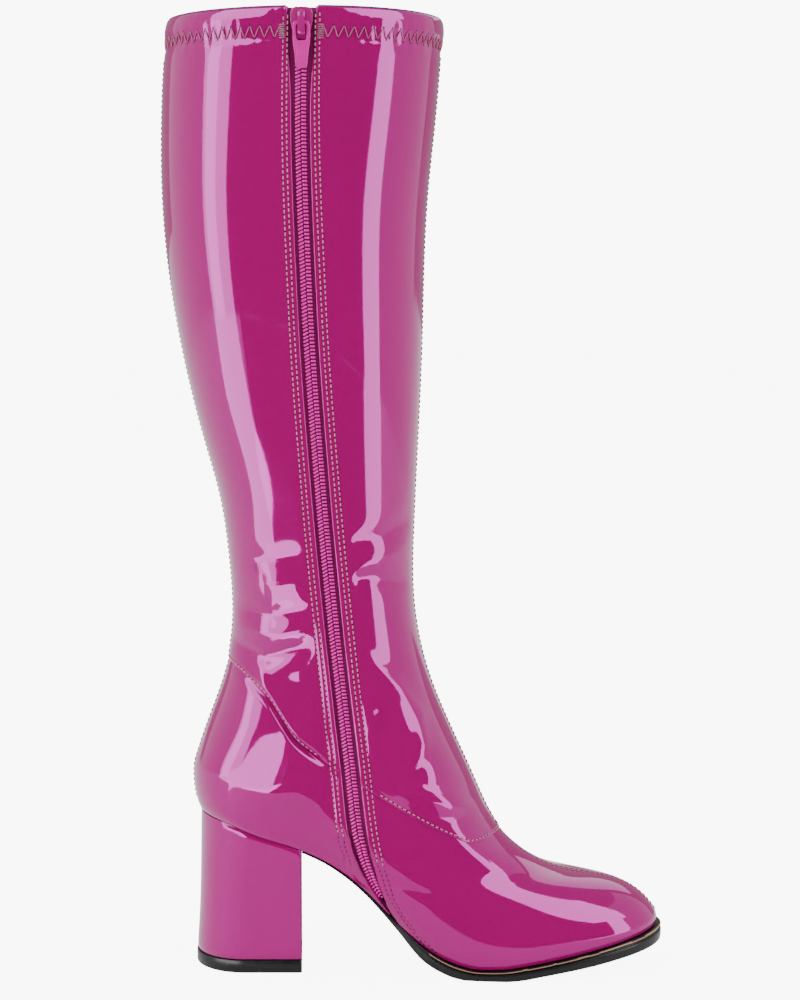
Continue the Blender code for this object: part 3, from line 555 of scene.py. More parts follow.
INNER_FOLDS: tuple[Fold, ...] = (
    Fold(((0.1012, 0.4436), (0.1766, 0.4405), (0.2311, 0.4478)), 0.0050, -0.0006),
    Fold(((0.1469, 0.4146), (0.1952, 0.4188), (0.2350, 0.4229)), 0.0070, 0.0009),
    Fold(((0.0837, 0.3897), (0.1633, 0.3814), (0.2390, 0.3918)), 0.0050, -0.0012),
    Fold(((0.1086, 0.3668), (0.1842, 0.3647), (0.2388, 0.3731)), 0.0050, 0.0009),
    Fold(((0.0789, 0.3501), (0.1460, 0.3376), (0.2471, 0.3564)), 0.0042, -0.0015, 0.7),
    Fold(((0.1248, 0.3167), (0.1837, 0.3230), (0.2427, 0.3313)), 0.0060, 0.0008),
    Fold(((0.1334, 0.3334), (0.1624, 0.2979), (0.2001, 0.2685), (0.2378, 0.2454)), 0.0022, 0.0007),
    Fold(((0.3211, 0.4561), (0.4048, 0.4664), (0.4613, 0.4850)), 0.0046, -0.0010),
    Fold(((0.3315, 0.4364), (0.3839, 0.4416), (0.4362, 0.4519)), 0.0050, 0.0008),
    Fold(((0.3230, 0.4177), (0.3775, 0.4229), (0.4572, 0.4105)), 0.0044, -0.0012),
    Fold(
        (
            (0.3396, 0.3606), (0.3815, 0.3313), (0.4362, 0.3083), (0.4784, 0.2769), (0.4890, 0.2454),
            (0.4531, 0.2222), (0.3898, 0.2286), (0.3645, 0.2559), (0.3646, 0.2853),
        ),
        0.0030, 0.0008,
    ),
    Fold(((0.3495, 0.3015), (0.3579, 0.2752), (0.3663, 0.252)), 0.0046, 0.0015),
    Fold(((0.3981, 0.291), (0.4108, 0.2594)), 0.0052, -0.0014),
    Fold(((0.4151, 0.2064), (0.4616, 0.198), (0.5208, 0.1895), (0.5928, 0.1747)), 0.0060, 0.0021),
    Fold(((0.4108, 0.1493), (0.4574, 0.1493), (0.5082, 0.1546)), 0.0024, -0.0004),
    Fold(((0.4171, 0.1260), (0.4617, 0.1281), (0.5125, 0.1334)), 0.0026, -0.0005),
    Fold(((0.4192, 0.1015), (0.4659, 0.0951), (0.5212, 0.0866)), 0.0026, -0.0005),
)

OUTER_FOLDS: tuple[Fold, ...] = (
    Fold(((0.0950, 0.4400), (0.1900, 0.4350), (0.2900, 0.4420)), 0.0060, -0.0008),
    Fold(((0.1100, 0.4100), (0.2100, 0.4150), (0.3000, 0.4200)), 0.0070, 0.0009),
    Fold(((0.0850, 0.3850), (0.1800, 0.3780), (0.3100, 0.3860)), 0.0052, -0.0013),
    Fold(((0.0850, 0.3480), (0.1700, 0.3380), (0.2900, 0.3500)), 0.0048, -0.0015, 0.7),
    Fold(((0.1500, 0.3120), (0.2300, 0.3230), (0.3200, 0.3330)), 0.0060, 0.0008),
    Fold(((0.3000, 0.4560), (0.3900, 0.4640), (0.4700, 0.4830)), 0.0050, -0.0010),
    Fold(((0.3000, 0.4140), (0.3900, 0.4230), (0.4700, 0.4080)), 0.0048, -0.0012),
    Fold(((0.3400, 0.3500), (0.4200, 0.3180), (0.4900, 0.2800), (0.5000, 0.2500)), 0.0040, 0.0008),
    Fold(((0.3900, 0.2900), (0.4300, 0.2700)), 0.0100, -0.0013),
    Fold(((0.3500, 0.2300), (0.4500, 0.2230), (0.5900, 0.1900)), 0.0038, 0.0010, 0.7),
    Fold(((0.3600, 0.2050), (0.4700, 0.2020), (0.5700, 0.1740)), 0.0038, -0.0009),
    Fold(((0.5600, 0.1250), (0.6300, 0.1180), (0.7000, 0.1250)), 0.0036, -0.0006),
)


class Relief:
    """Heights of the folds and of the counter over the outer surface."""

    def __init__(self, form: BootForm) -> None:
        """Keeps the form.

        Args:
            form: The boot's surface.
        """
        self.form = form

    def _one(self, fold: Fold, x: np.ndarray, z: np.ndarray) -> np.ndarray:
        """Height of one fold at points seen from the side."""
        s = self.form.sizes
        path = np.array([(s.back_x + a * s.foot_length, b * s.boot_height) for a, b in fold.path])
        starts = travel(path)
        best, place, above = np.full(x.shape, 1e9), np.zeros(x.shape), np.zeros(x.shape)
        for k, step in enumerate(np.diff(path, axis=0)):
            length = float(np.linalg.norm(step))
            t = np.clip(((x - path[k, 0]) * step[0] + (z - path[k, 1]) * step[1]) / length**2, 0.0, 1.0)
            dx, dz = x - path[k, 0] - t * step[0], z - path[k, 1] - t * step[1]
            far = np.hypot(dx, dz)
            nearer = far < best
            best = np.where(nearer, far, best)
            place = np.where(nearer, starts[k] + t * length, place)
            above = np.where(nearer, step[0] * dz - step[1] * dx, above)
        share = place / starts[-1]
        ends = smooth(share, *FOLD_END) * smooth(1.0 - share, *FOLD_END)
        width = np.where(above > 0, fold.wide * fold.steep, fold.wide)
        return fold.rise * np.exp(-((best / width) ** 2)) * (0.25 + 0.75 * ends)

    def folds(self, points: np.ndarray) -> np.ndarray:
        """Height of every fold at points of the surface, fading towards the front and back of the boot.

        Args:
            points: Points of the outer surface.

        Returns:
            Heights in metres.
        """
        x, y, z = points[..., 0], points[..., 1], points[..., 2]
        height = np.zeros(x.shape)
        for way, table in ((-1, INNER_FOLDS), (1, OUTER_FOLDS)):
            height += smooth(way * y, 0.002, 0.016) * sum(self._one(fold, x, z) for fold in table)
        return height

    @staticmethod
    def counter(points: np.ndarray) -> np.ndarray:
        """Height of the stiff counter, which swells between the ankle's hollow and the zip."""
        x, z = points[..., 0], points[..., 2]
        height = np.zeros(x.shape)
        for rise, *bounds in COUNTER:
            along = smooth(x, *bounds[0]) * (1.0 - smooth(x, *bounds[1]))
            height += rise * along * smooth(z, *bounds[2]) * (1.0 - smooth(z, *bounds[3]))
        return height

    @staticmethod
    def groove(distance: np.ndarray, place: float, wide: float, depth: float) -> np.ndarray:
        """A groove at a distance from an edge."""
        return -depth * np.exp(-(((distance - place) / wide) ** 2))


# ---------------------------------------------------------------------------------------------- meshes

Shape = tuple[np.ndarray, list[list[int]]]
ROD = ((0.0, 0.35), (0.14, 0.9), (0.5, 1.0), (0.86, 0.9), (1.0, 0.35))


def grid_faces(rows: int, columns: int) -> np.ndarray:
    """Quads of a grid whose points are stored row by row."""
    one = np.arange(rows - 1)[:, None] * columns + np.arange(columns - 1)[None, :]
    return np.stack((one, one + columns, one + columns + 1, one + 1), -1).reshape(-1, 4)


def mesh_of(name: str, points: np.ndarray, faces: Sequence[Sequence[int]]) -> bpy.types.Mesh:
    """A mesh from points and faces, shaded smooth.

    Args:
        name: The mesh's name.
        points: Its points.
        faces: Its faces.

    Returns:
        The mesh.
    """
    mesh = bpy.data.meshes.new(name)
    mesh.from_pydata(np.asarray(points, float).reshape(-1, 3).tolist(), [], [list(f) for f in faces])
    mesh.update()
    mesh.shade_smooth()
    return mesh


def sheet_mesh(name: str, grid: np.ndarray, out: np.ndarray) -> bpy.types.Mesh:
    """A mesh of a grid of points, turned so that its faces look the way of the given normals."""
    rows, columns = grid.shape[:2]
    faces = grid_faces(rows, columns)
    i, j = rows // 2, columns // 2
    turn = np.cross(grid[i + 1, j] - grid[i, j], grid[i, j + 1] - grid[i, j])
    return mesh_of(name, grid, (faces[:, ::-1] if float(turn @ out[i, j]) < 0 else faces).tolist())


def settled(work: bmesh.types.BMesh, mesh: bpy.types.Mesh, sharp: float) -> bpy.types.Mesh:
    """Writes a bmesh into a mesh, smooth but for the edges sharper than an angle in degrees."""
    bmesh.ops.recalc_face_normals(work, faces=work.faces)
    work.to_mesh(mesh)
    work.free()
    mesh.shade_smooth()
    mesh.set_sharp_from_angle(angle=math.radians(sharp))
    return mesh


def closed_mesh(name: str, grid: np.ndarray, sharp: float) -> bpy.types.Mesh:
    """A closed skin from rings of points, with its ends filled.

    Args:
        name: The mesh's name.
        grid: Rings of points, open where each ends.
        sharp: Angle in degrees from which an edge stays sharp.

    Returns:
        The mesh.
    """
    grid = np.concatenate((grid, grid[:, :1]), 1)
    mesh = mesh_of(name, grid, grid_faces(*grid.shape[:2]).tolist())
    work = bmesh.new()
    work.from_mesh(mesh)
    bmesh.ops.remove_doubles(work, verts=work.verts, dist=1e-6)
    bmesh.ops.holes_fill(work, edges=[e for e in work.edges if e.is_boundary], sides=0)
    return settled(work, mesh, sharp)


def circles(first: np.ndarray, second: np.ndarray, sides: int) -> np.ndarray:
    """Unit circles in the planes of two directions, one for each row."""
    turn = np.arange(sides) * 2 * math.pi / sides
    return first[:, None, :] * np.cos(turn)[None, :, None] + second[:, None, :] * np.sin(turn)[None, :, None]


def capsules(
    starts: np.ndarray,
    ends: np.ndarray,
    ups: np.ndarray,
    radius: float,
    arch: float = 0.0,
    sides: int = 6,
    profile: Sequence[tuple[float, float]] = ROD,
) -> Shape:
    """Many small rounded rods.

    Args:
        starts: Where each begins.
        ends: Where each ends.
        ups: The outward direction at each.
        radius: Their radius.
        arch: How far their middle stands up.
        sides: Sides of a rod's section.
        profile: Place along and share of the radius of each section.

    Returns:
        Points and faces.
    """
    run = ends - starts
    across = unit(np.cross(unit(run), ups))
    up = np.cross(across, unit(run))
    circle = circles(across, up, sides)
    points = np.stack([
        (starts + run * t + up * arch * math.sin(math.pi * t))[:, None, :] + radius * share * circle
        for t, share in profile
    ], 1)
    count, levels = points.shape[:2]
    faces: list[list[int]] = []
    base = np.arange(count)[:, None] * levels * sides
    one = np.arange(sides)[None, :]
    two = (one + 1) % sides
    for low in (base + level * sides for level in range(levels - 1)):
        high = low + sides
        faces += np.stack((low + one, low + two, high + two, high + one), -1).reshape(-1, 4).tolist()
    faces += (base + one)[:, ::-1].tolist() + (base + (levels - 1) * sides + one).tolist()
    return points.reshape(-1, 3), faces


def discs(centres: np.ndarray, ups: np.ndarray, radius: float, sides: int = 7) -> Shape:
    """Many small flat discs that face outwards."""
    first = unit(np.cross(ups, np.array((0.13, 0.21, 0.97))))
    points = centres[:, None, :] + radius * circles(first, np.cross(ups, first), sides)
    faces = (np.arange(len(centres))[:, None] * sides + np.arange(sides)[None, :]).tolist()
    return points.reshape(-1, 3), faces


def joined(parts: Sequence[Shape]) -> Shape:
    """Several sets of points and faces as one."""
    faces: list[list[int]] = []
    start = 0
    for more, quads in parts:
        faces += [[i + start for i in face] for face in quads]
        start += len(more)
    return np.concatenate([more for more, _ in parts]), faces


def placed(name: str, data: bpy.types.ID) -> bpy.types.Object:
    """An object linked into the scene."""
    made = bpy.data.objects.new(name, data)
    bpy.context.scene.collection.objects.link(made)
    return made


# ---------------------------------------------------------------------------------------------- finishes

Colour = tuple[float, float, float]
WHITE = (1.0, 1.0, 1.0, 1.0)


class Nodes:
    """Adds shader nodes to a tree."""

    def __init__(self, tree: bpy.types.NodeTree) -> None:
        """Keeps the tree.

        Args:
            tree: The node tree.
        """
        self.tree = tree

    def add(self, kind: str, sockets: dict[str | int, object], **settings: object) -> bpy.types.NodeOutputs:
        """Adds a node.

        Args:
            kind: The node's type.
            sockets: Value of each input, or the output that feeds it, by name or number.
            settings: The node's own settings.

        Returns:
            The node's outputs.
        """
        node = self.tree.nodes.new(kind)
        for key, value in settings.items():
            setattr(node, key, value)
        self.feed(node, sockets)
        return node.outputs

    def feed(self, node: bpy.types.Node, sockets: dict[str | int, object]) -> None:
        """Sets or links the inputs of a node."""
        for key, value in sockets.items():
            if isinstance(value, bpy.types.NodeSocket):
                self.tree.links.new(value, node.inputs[key])
            else:
                node.inputs[key].default_value = value

    def maths(self, operation: str, first: object, second: object, third: object = 0.0) -> bpy.types.NodeSocket:
        """The result of a math node."""
        return self.add("ShaderNodeMath", {0: first, 1: second, 2: third}, operation=operation)[0]


class Effects:
    """Shader node groups that several finishes use."""

    @staticmethod
    def group(
        name: str,
        inputs: dict[str, object],
        outputs: dict[str, str],
        fill: Callable[[Nodes, bpy.types.NodeOutputs], dict[str | int, object]],
    ) -> bpy.types.NodeTree:
        """A group, made once.

        Args:
            name: The group's name.
            inputs: Default of each input, a number or a colour.
            outputs: Socket type of each output.
            fill: Adds the nodes and returns what feeds each output.

        Returns:
            The group.
        """
        found = bpy.data.node_groups.get(name)
        if found:
            return found
        tree = bpy.data.node_groups.new(name, "ShaderNodeTree")
        for label, default in inputs.items():
            kind = "NodeSocketColor" if isinstance(default, tuple) else "NodeSocketFloat"
            tree.interface.new_socket(label, in_out="INPUT", socket_type=kind).default_value = default
        for label, kind in outputs.items():
            tree.interface.new_socket(label, in_out="OUTPUT", socket_type=kind)
        ins, outs = tree.nodes.new("NodeGroupInput"), tree.nodes.new("NodeGroupOutput")
        nodes = Nodes(tree)
        nodes.feed(outs, fill(nodes, ins.outputs))
        return tree

    @classmethod
    def mottle(cls) -> bpy.types.NodeTree:
        """Cloudy variation between two colours, and the cloud itself as a mask."""

        def fill(nodes: Nodes, ins: bpy.types.NodeOutputs) -> dict[str | int, object]:
            """Adds the nodes."""
            place = nodes.add("ShaderNodeTexCoord", {})["Object"]
            noise = {"Detail": 5.0, "Roughness": 0.6, "Vector": place, "Scale": ins["Scale"]}
            cloud = nodes.add("ShaderNodeTexNoise", noise)["Fac"]
            mask = nodes.add("ShaderNodeMapRange", {"From Min": 0.3, "From Max": 0.7, "Value": cloud})["Result"]
            share = nodes.maths("MULTIPLY", mask, ins["Amount"])
            both = {"Factor": share, "A": ins["Colour"], "B": ins["Shade"]}
            return {"Colour": nodes.add("ShaderNodeMix", both, data_type="RGBA")["Result"], "Mask": mask}

        inputs = {"Colour": (0.5, 0.5, 0.5, 1.0), "Shade": (0.3, 0.3, 0.3, 1.0), "Scale": 20.0, "Amount": 0.5}
        return cls.group("mottle", inputs, {"Colour": "NodeSocketColor", "Mask": "NodeSocketFloat"}, fill)

    @classmethod
    def ripple(cls) -> bpy.types.NodeTree:
        """A fine uneven skin: long soft ripples with a pebble of its own."""

        def fill(nodes: Nodes, ins: bpy.types.NodeOutputs) -> dict[str | int, object]:
            """Adds the nodes."""
            place = nodes.add("ShaderNodeTexCoord", {})["Object"]
            wave = nodes.add("ShaderNodeTexNoise", {"Detail": 2.0, "Vector": place, "Scale": ins["Scale"]})["Fac"]
            fine = nodes.maths("MULTIPLY", ins["Scale"], 6.0)
            cell = nodes.add("ShaderNodeTexVoronoi", {"Scale": fine, "Vector": place})["Distance"]
            return {"Height": nodes.maths("ADD", wave, nodes.maths("MULTIPLY", cell, ins["Pebble"]))}

        return cls.group("ripple", {"Scale": 200.0, "Pebble": 0.3}, {"Height": "NodeSocketFloat"}, fill)

    @classmethod
    def weave(cls) -> bpy.types.NodeTree:
        """Crossed yarns, as height and as a mask of the spaces between them, which the finishes darken as painted
        shade.
        """

        def fill(nodes: Nodes, ins: bpy.types.NodeOutputs) -> dict[str | int, object]:
            """Adds the nodes."""
            place = nodes.add("ShaderNodeTexCoord", {})["Object"]
            wave = {"Detail": 1.5, "Vector": place, "Scale": ins["Scale"], "Distortion": ins["Slub"]}
            yarns = [
                nodes.add("ShaderNodeTexWave", wave, wave_type="BANDS", bands_direction=axis)["Fac"]
                for axis in ("X", "Z")
            ]
            high = nodes.maths("MAXIMUM", *yarns)
            return {"Height": high, "Mask": nodes.maths("SUBTRACT", 1.0, high)}

        outputs = {"Height": "NodeSocketFloat", "Mask": "NodeSocketFloat"}
        return cls.group("weave", {"Scale": 900.0, "Slub": 1.0}, outputs, fill)


@dataclass(frozen=True)
class Finish:
    """A finish and how it is told apart in the light.

    Attributes:
        name: The material's name.
        colour: Main colour, linear.
        shade: Second colour of the cloud.
        amount: How much of the second colour the cloud shows.
        cloud: Clouds per metre.
        rough: Lowest and highest roughness.
        metal: Metallic share.
        coat: Weight of the clear coat.
        coat_rough: Roughness of the clear coat.
        relief: Height of the bump, in metres.
        grain: Ripples or yarns per metre.
        pebble: How much of the pebble the bump has.
        woven: Whether the bump is a weave, with painted shade darkening the spaces between its yarns.
        sheen: Weight of the sheen.
        sheen_tint: Colour of the sheen.
        ior: Index of refraction.
        specular: Strength of the gloss under the coat.
        tint: Colour of that gloss.
    """

    name: str
    colour: Colour
    shade: Colour
    amount: float = 0.5
    cloud: float = 25.0
    rough: tuple[float, float] = (0.3, 0.4)
    metal: float = 0.0
    coat: float = 0.0
    coat_rough: float = 0.03
    relief: float = 0.00001
    grain: float = 220.0
    pebble: float = 0.3
    woven: bool = False
    sheen: float = 0.0
    sheen_tint: Colour = (1.0, 1.0, 1.0)
    ior: float = 1.5
    specular: float = 0.5
    tint: Colour = (1.0, 1.0, 1.0)

    def material(self) -> bpy.types.Material:
        """The finish as a node material, made once."""
        found = bpy.data.materials.get(self.name)
        if found:
            return found
        made = bpy.data.materials.new(self.name)
        made.use_nodes = True
        made.diffuse_color = (*self.colour, 1.0)
        nodes = Nodes(made.node_tree)
        cloud = {"Colour": (*self.colour, 1.0), "Shade": (*self.shade, 1.0), "Scale": self.cloud, "Amount": self.amount}
        mottle = nodes.add("ShaderNodeGroup", cloud, node_tree=Effects.mottle())
        span = {"To Min": self.rough[0], "To Max": self.rough[1], "Value": mottle["Mask"]}
        colour = mottle["Colour"]
        if self.woven:
            skin = nodes.add("ShaderNodeGroup", {"Scale": self.grain}, node_tree=Effects.weave())
            # Painted shade: the spaces between the yarns are darkened to 0.35 of the second colour.
            gap_shade = (*(0.35 * c for c in self.shade), 1.0)
            both = {"Factor": skin["Mask"], "A": colour, "B": gap_shade}
            colour = nodes.add("ShaderNodeMix", both, data_type="RGBA")["Result"]
        else:
            grain = {"Scale": self.grain, "Pebble": self.pebble}
            skin = nodes.add("ShaderNodeGroup", grain, node_tree=Effects.ripple())
        bump = nodes.add("ShaderNodeBump", {"Distance": self.relief, "Height": skin["Height"]})
        nodes.feed(made.node_tree.nodes["Principled BSDF"], {
            "Base Color": colour,
            "Roughness": nodes.add("ShaderNodeMapRange", span)["Result"],
            "Normal": bump["Normal"],
            "Metallic": self.metal,
            "IOR": self.ior,
            "Specular IOR Level": self.specular,
            "Specular Tint": (*self.tint, 1.0),
            "Coat Weight": self.coat,
            "Coat Roughness": self.coat_rough,
            "Sheen Weight": self.sheen,
            "Sheen Tint": (*self.sheen_tint, 1.0),
        })
        return made


PATENT = Finish(
    "fuchsia_patent", (0.355, 0.0, 0.138), (0.325, 0.0, 0.124), 0.5, 14.0, (0.05, 0.07),
    coat=0.35, coat_rough=0.02, relief=0.000012, grain=260.0, pebble=0.25, specular=1.0, tint=(1.0, 0.07, 0.85),
)
LINING = Finish(
    "woven_lining", (0.230, 0.010, 0.100), (0.170, 0.006, 0.070), 0.6, 40.0, (0.75, 0.9),
    relief=0.00012, grain=420.0, woven=True, sheen=0.2, sheen_tint=(1.0, 0.6, 0.85),
)
SOCK = Finish(
    "padded_sock", (0.260, 0.016, 0.120), (0.200, 0.010, 0.090), 0.6, 30.0, (0.55, 0.7),
    relief=0.00008, grain=500.0, pebble=0.8,
)
TAPE = Finish(
    "zip_tape_weave", (0.420, 0.004, 0.190), (0.300, 0.002, 0.130), 0.5, 60.0, (0.6, 0.75),
    relief=0.00010, grain=520.0, woven=True, specular=0.2,
)
NYLON = Finish(
    "zip_coil_nylon", (0.780, 0.004, 0.400), (0.620, 0.002, 0.300), 0.5, 300.0, (0.25, 0.4),
    relief=0.00002, grain=900.0, pebble=0.4, coat=0.3, coat_rough=0.15, specular=0.3, tint=(1.0, 0.5, 0.85),
)
ENAMEL = Finish(
    "zip_enamel", (0.740, 0.006, 0.360), (0.600, 0.004, 0.280), 0.5, 160.0, (0.22, 0.32),
    relief=0.00002, grain=700.0, pebble=0.4, coat=0.6, coat_rough=0.08, specular=0.3, tint=(1.0, 0.5, 0.85),
)
# The pull's pink enamel darkened for the slider: painted shade that sets the slider apart from the pull, though both
# are the same pink.
SHADED_SLIDER_ENAMEL = Finish(
    "zip_enamel_painted_shade", (0.440, 0.003, 0.200), (0.330, 0.002, 0.150), 0.5, 160.0, (0.22, 0.32),
    relief=0.00002, grain=700.0, pebble=0.4, coat=0.6, coat_rough=0.08, specular=0.3, tint=(1.0, 0.5, 0.85),
)
THREAD = Finish(
    "rose_thread", (0.700, 0.200, 0.360), (0.500, 0.090, 0.200), 0.8, 900.0, (0.4, 0.6),
    relief=0.00006, grain=2600.0, pebble=0.6,
)
PINK_THREAD = Finish(
    "mauve_thread", (0.400, 0.100, 0.200), (0.280, 0.050, 0.120), 0.8, 900.0, (0.4, 0.6),
    relief=0.00006, grain=2600.0, pebble=0.6,
)
# Near-black discs laid over the needle's pinholes: painted shade, for the shadow inside each pinhole.
HOLE_SHADE = Finish(
    "needle_hole_shade", (0.012, 0.0, 0.006), (0.008, 0.0, 0.004), 0.5, 600.0, (0.6, 0.8), specular=0.1,
)
PIPING = Finish(
    "violet_piping", (0.050, 0.012, 0.110), (0.035, 0.008, 0.080), 0.5, 200.0, (0.4, 0.5), specular=0.3,
)
RUBBER = Finish(
    "black_sole", (0.0022, 0.0022, 0.0030), (0.0045, 0.0050, 0.0055), 0.6, 90.0, (0.22, 0.36),
    relief=0.00004, grain=420.0, pebble=0.5, specular=0.30,
)
# Cream colour on the top of the sole's edge: a painted highlight, the light caught on the sole's glossy top lip.
PAINTED_LIP_HIGHLIGHT = Finish(
    "cream_lip_highlight", (0.400, 0.230, 0.120), (0.260, 0.130, 0.070), 0.6, 200.0, (0.45, 0.6),
    relief=0.00003, grain=900.0, pebble=0.4, specular=0.3,
)


def piece(
    name: str,
    mesh: bpy.types.Mesh,
    finishes: Sequence[Finish],
    stands_for: Sequence[str] = (),
    body: Body = Body.BOOT,
) -> None:
    """Links a mesh as a piece of the boot.

    Args:
        name: The piece's name.
        mesh: Its mesh.
        finishes: Its finishes.
        stands_for: CAD nodes that it replaces.
        body: The body that it rides on.
    """
    made = placed(name, mesh)
    for finish in finishes:
        mesh.materials.append(finish.material())
    if stands_for:
        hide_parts(*stands_for)
    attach(made, body.value)
    LOG.info("%s: %d faces", name, len(mesh.polygons))


def dress(node: str, finish: Finish) -> None:
    """Gives a CAD node that stays a better material."""
    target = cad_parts[node]
    target.data.materials.clear()
    target.data.materials.append(finish.material())


# ---------------------------------------------------------------------------------------------- upper


@dataclass
class Upper:
    """The patent upper: a leg panel that laps over the foot panels along the ankle seam.

    Attributes:
        form: The boot's surface.
        relief: Its folds.
        fold_radius: Radius of the turned edges.
        band: Width of the stitched band beside the zip.
        leg_rows: Rows up the leg.
        foot_rows: Rows up the foot.
        collar_band: Height of the elastic collar, from the zigzag to the rim.
        tuck: How far the foot panels reach up under the leg panel.
        foot_edge: Depth of the foot panels' turned edges.
    """

    form: BootForm
    relief: Relief
    fold_radius: float = 0.0007
    band: float = 0.0076
    leg_rows: int = 225
    foot_rows: int = 54
    collar_band: float = 0.0116
    tuck: float = 0.0012
    foot_edge: float = 0.0024

    def edge_steps(self) -> list[tuple[float, float]]:
        """Distance from the slot's edge and depth of the columns in the turned edge and the stitched band."""
        r = self.fold_radius
        turns = [math.pi * (1 - k / 4) for k in range(5)]
        count = 14
        steps = [(r - r * math.sin(turn), r * (1 - math.cos(turn))) for turn in turns]
        return steps + [(r + (self.band - r) * (k + 1) / count, 0.0) for k in range(count)]

    def columns(self, counts: Sequence[int]) -> tuple[np.ndarray, np.ndarray]:
        """Sides and depths of a grid's columns, from the slot's front edge round the boot to its rear edge.

        Args:
            counts: Columns of the inner side in front of the stitched band, of the outer side, and of the
                inner side behind the band.

        Returns:
            Sides and depths.
        """
        front, outer, back = counts
        depths = np.array([depth for _, depth in self.edge_steps()])
        sides = np.repeat((-1, 1, -1), (len(depths) + front, outer, back + len(depths) - 1))
        return sides, np.concatenate((depths, np.zeros(sum(counts)), depths[-2::-1]))

    def column_angles(self, run: np.ndarray, number: int, counts: Sequence[int]) -> np.ndarray:
        """Angles of one column of the grid at every row."""
        steps = self.edge_steps()
        if number < len(steps):
            return self.form.beside_zip(run, steps[number][0], -1)
        number -= len(steps)
        front, outer, back = counts
        if number < front:
            return self.form.beside_zip(run, steps[-1][0], -1) * (1 - (number + 1) / front)
        number -= front
        if number < outer:
            return np.full(run.shape, math.pi * (number + 1) / outer)
        number -= outer
        if number < back:
            last = self.form.beside_zip(run, steps[-1][0], 1)
            return math.pi - (math.pi - last) * (number + 1) / back
        number -= back
        return self.form.beside_zip(run, steps[len(steps) - 2 - number][0], 1)

    def angles(self, run: np.ndarray, counts: Sequence[int]) -> np.ndarray:
        """Angles of the whole grid."""
        return np.stack([self.column_angles(run[:, j], j, counts) for j in range(run.shape[1])], 1)

    def seam_under(self, row: int, counts: Sequence[int]) -> np.ndarray:
        """How far up the boot the ankle seam crosses each column."""
        sides, _ = self.columns(counts)
        level = np.full((1, len(sides)), self.form.runs[row])
        return self.form.seam_run(self.angles(level, counts)[0], sides)

    def from_slot(self, angle: np.ndarray, run: np.ndarray) -> np.ndarray:
        """Distance from the edge of the zip's slot."""
        form = self.form
        return np.abs(angle - form.zip_angle(run)) / form.per_metre(run) - form.slot_at(run)

    def zip_fade(self, angle: np.ndarray, run: np.ndarray, side: np.ndarray) -> np.ndarray:
        """0 at the zip's slot and 1 clear of its stitched band."""
        return np.where(side < 0, smooth(self.from_slot(angle, run), 0.0035, 0.0110), 1.0)

    def band_relief(self, angle: np.ndarray, run: np.ndarray, side: np.ndarray) -> np.ndarray:
        """Height of the stitched band beside the zip: its stitch rows sink in and the skin puffs between them."""
        far = self.from_slot(angle, run)
        height = 0.00018 * smooth(-far, -0.0062, -0.0046)
        for row, wide, depth in ((0, 0.00045, 0.00016), (1, 0.00050, 0.00022)):
            height = height + Relief.groove(far, self.form.stitch_line(run, row), wide, depth)
        return np.where(side < 0, height, 0.0)

    @staticmethod
    def centre_relief(points: np.ndarray) -> np.ndarray:
        """Height of the closed seams down the front and the back: a fine valley between two soft beads."""
        y = np.abs(points[..., 1])
        return Relief.groove(y, 0.0, 0.0004, 0.00035) - Relief.groove(y, 0.0013, 0.0010, 0.00010)

    def collar_relief(self, rim: np.ndarray, points: np.ndarray, side: np.ndarray) -> np.ndarray:
        """Height of the elastic collar: it swells below the rim and the zigzag gathers it in small puckers."""
        swell = 0.00095 * np.sin(math.pi * np.clip(rim / (self.collar_band + 0.002), 0.0, 1.0)) ** 0.9
        wave = np.sin(points[..., 0] * 2 * math.pi / 0.0049 + 1.3 * np.sin(points[..., 0] * 61.0) + side)
        pucker = -Relief.groove(rim, self.collar_band, 0.0050, 0.00016) * wave
        return swell + Relief.groove(rim, self.collar_band, 0.0036, 0.00060) + pucker

    def full_relief(self, angle: np.ndarray, run: np.ndarray, side: np.ndarray, seam: np.ndarray) -> np.ndarray:
        """Every height over the surface together."""
        points = self.form.surface(angle, run, side)
        fade = self.zip_fade(angle, run, side)
        height = (self.relief.folds(points) + Relief.counter(points)) * fade
        height = height + self.band_relief(angle, run, side) + self.centre_relief(points)
        height = height * smooth(np.abs(run - seam), 0.0, 0.004) + Relief.groove(run - seam, 0.0026, 0.0007, 0.00012)
        height = height + self.collar_relief(self.form.top - run, points, side) * fade
        return height * smooth(run, 0.0, 0.004)

    def skin(
        self, run: np.ndarray, depth: np.ndarray, edge: np.ndarray, seam: np.ndarray, counts: Sequence[int]
    ) -> tuple[np.ndarray, np.ndarray]:
        """Points and normals of a patent panel.

        Args:
            run: Run of every row at every column.
            depth: Depth inside the surface.
            edge: Depth by which the relief dies out.
            seam: Run of the ankle seam at every column.
            counts: Columns of the grid's three parts.

        Returns:
            Points and normals.
        """
        angle = self.angles(run, counts)
        side = np.broadcast_to(self.columns(counts)[0], run.shape)
        height = self.full_relief(angle, run, side, np.broadcast_to(seam, run.shape)) * smooth(-edge, -0.0008, 0.0)
        out = self.form.outward(angle, run, side)
        return self.form.surface(angle, run, side) + out * (height - depth)[..., None], out

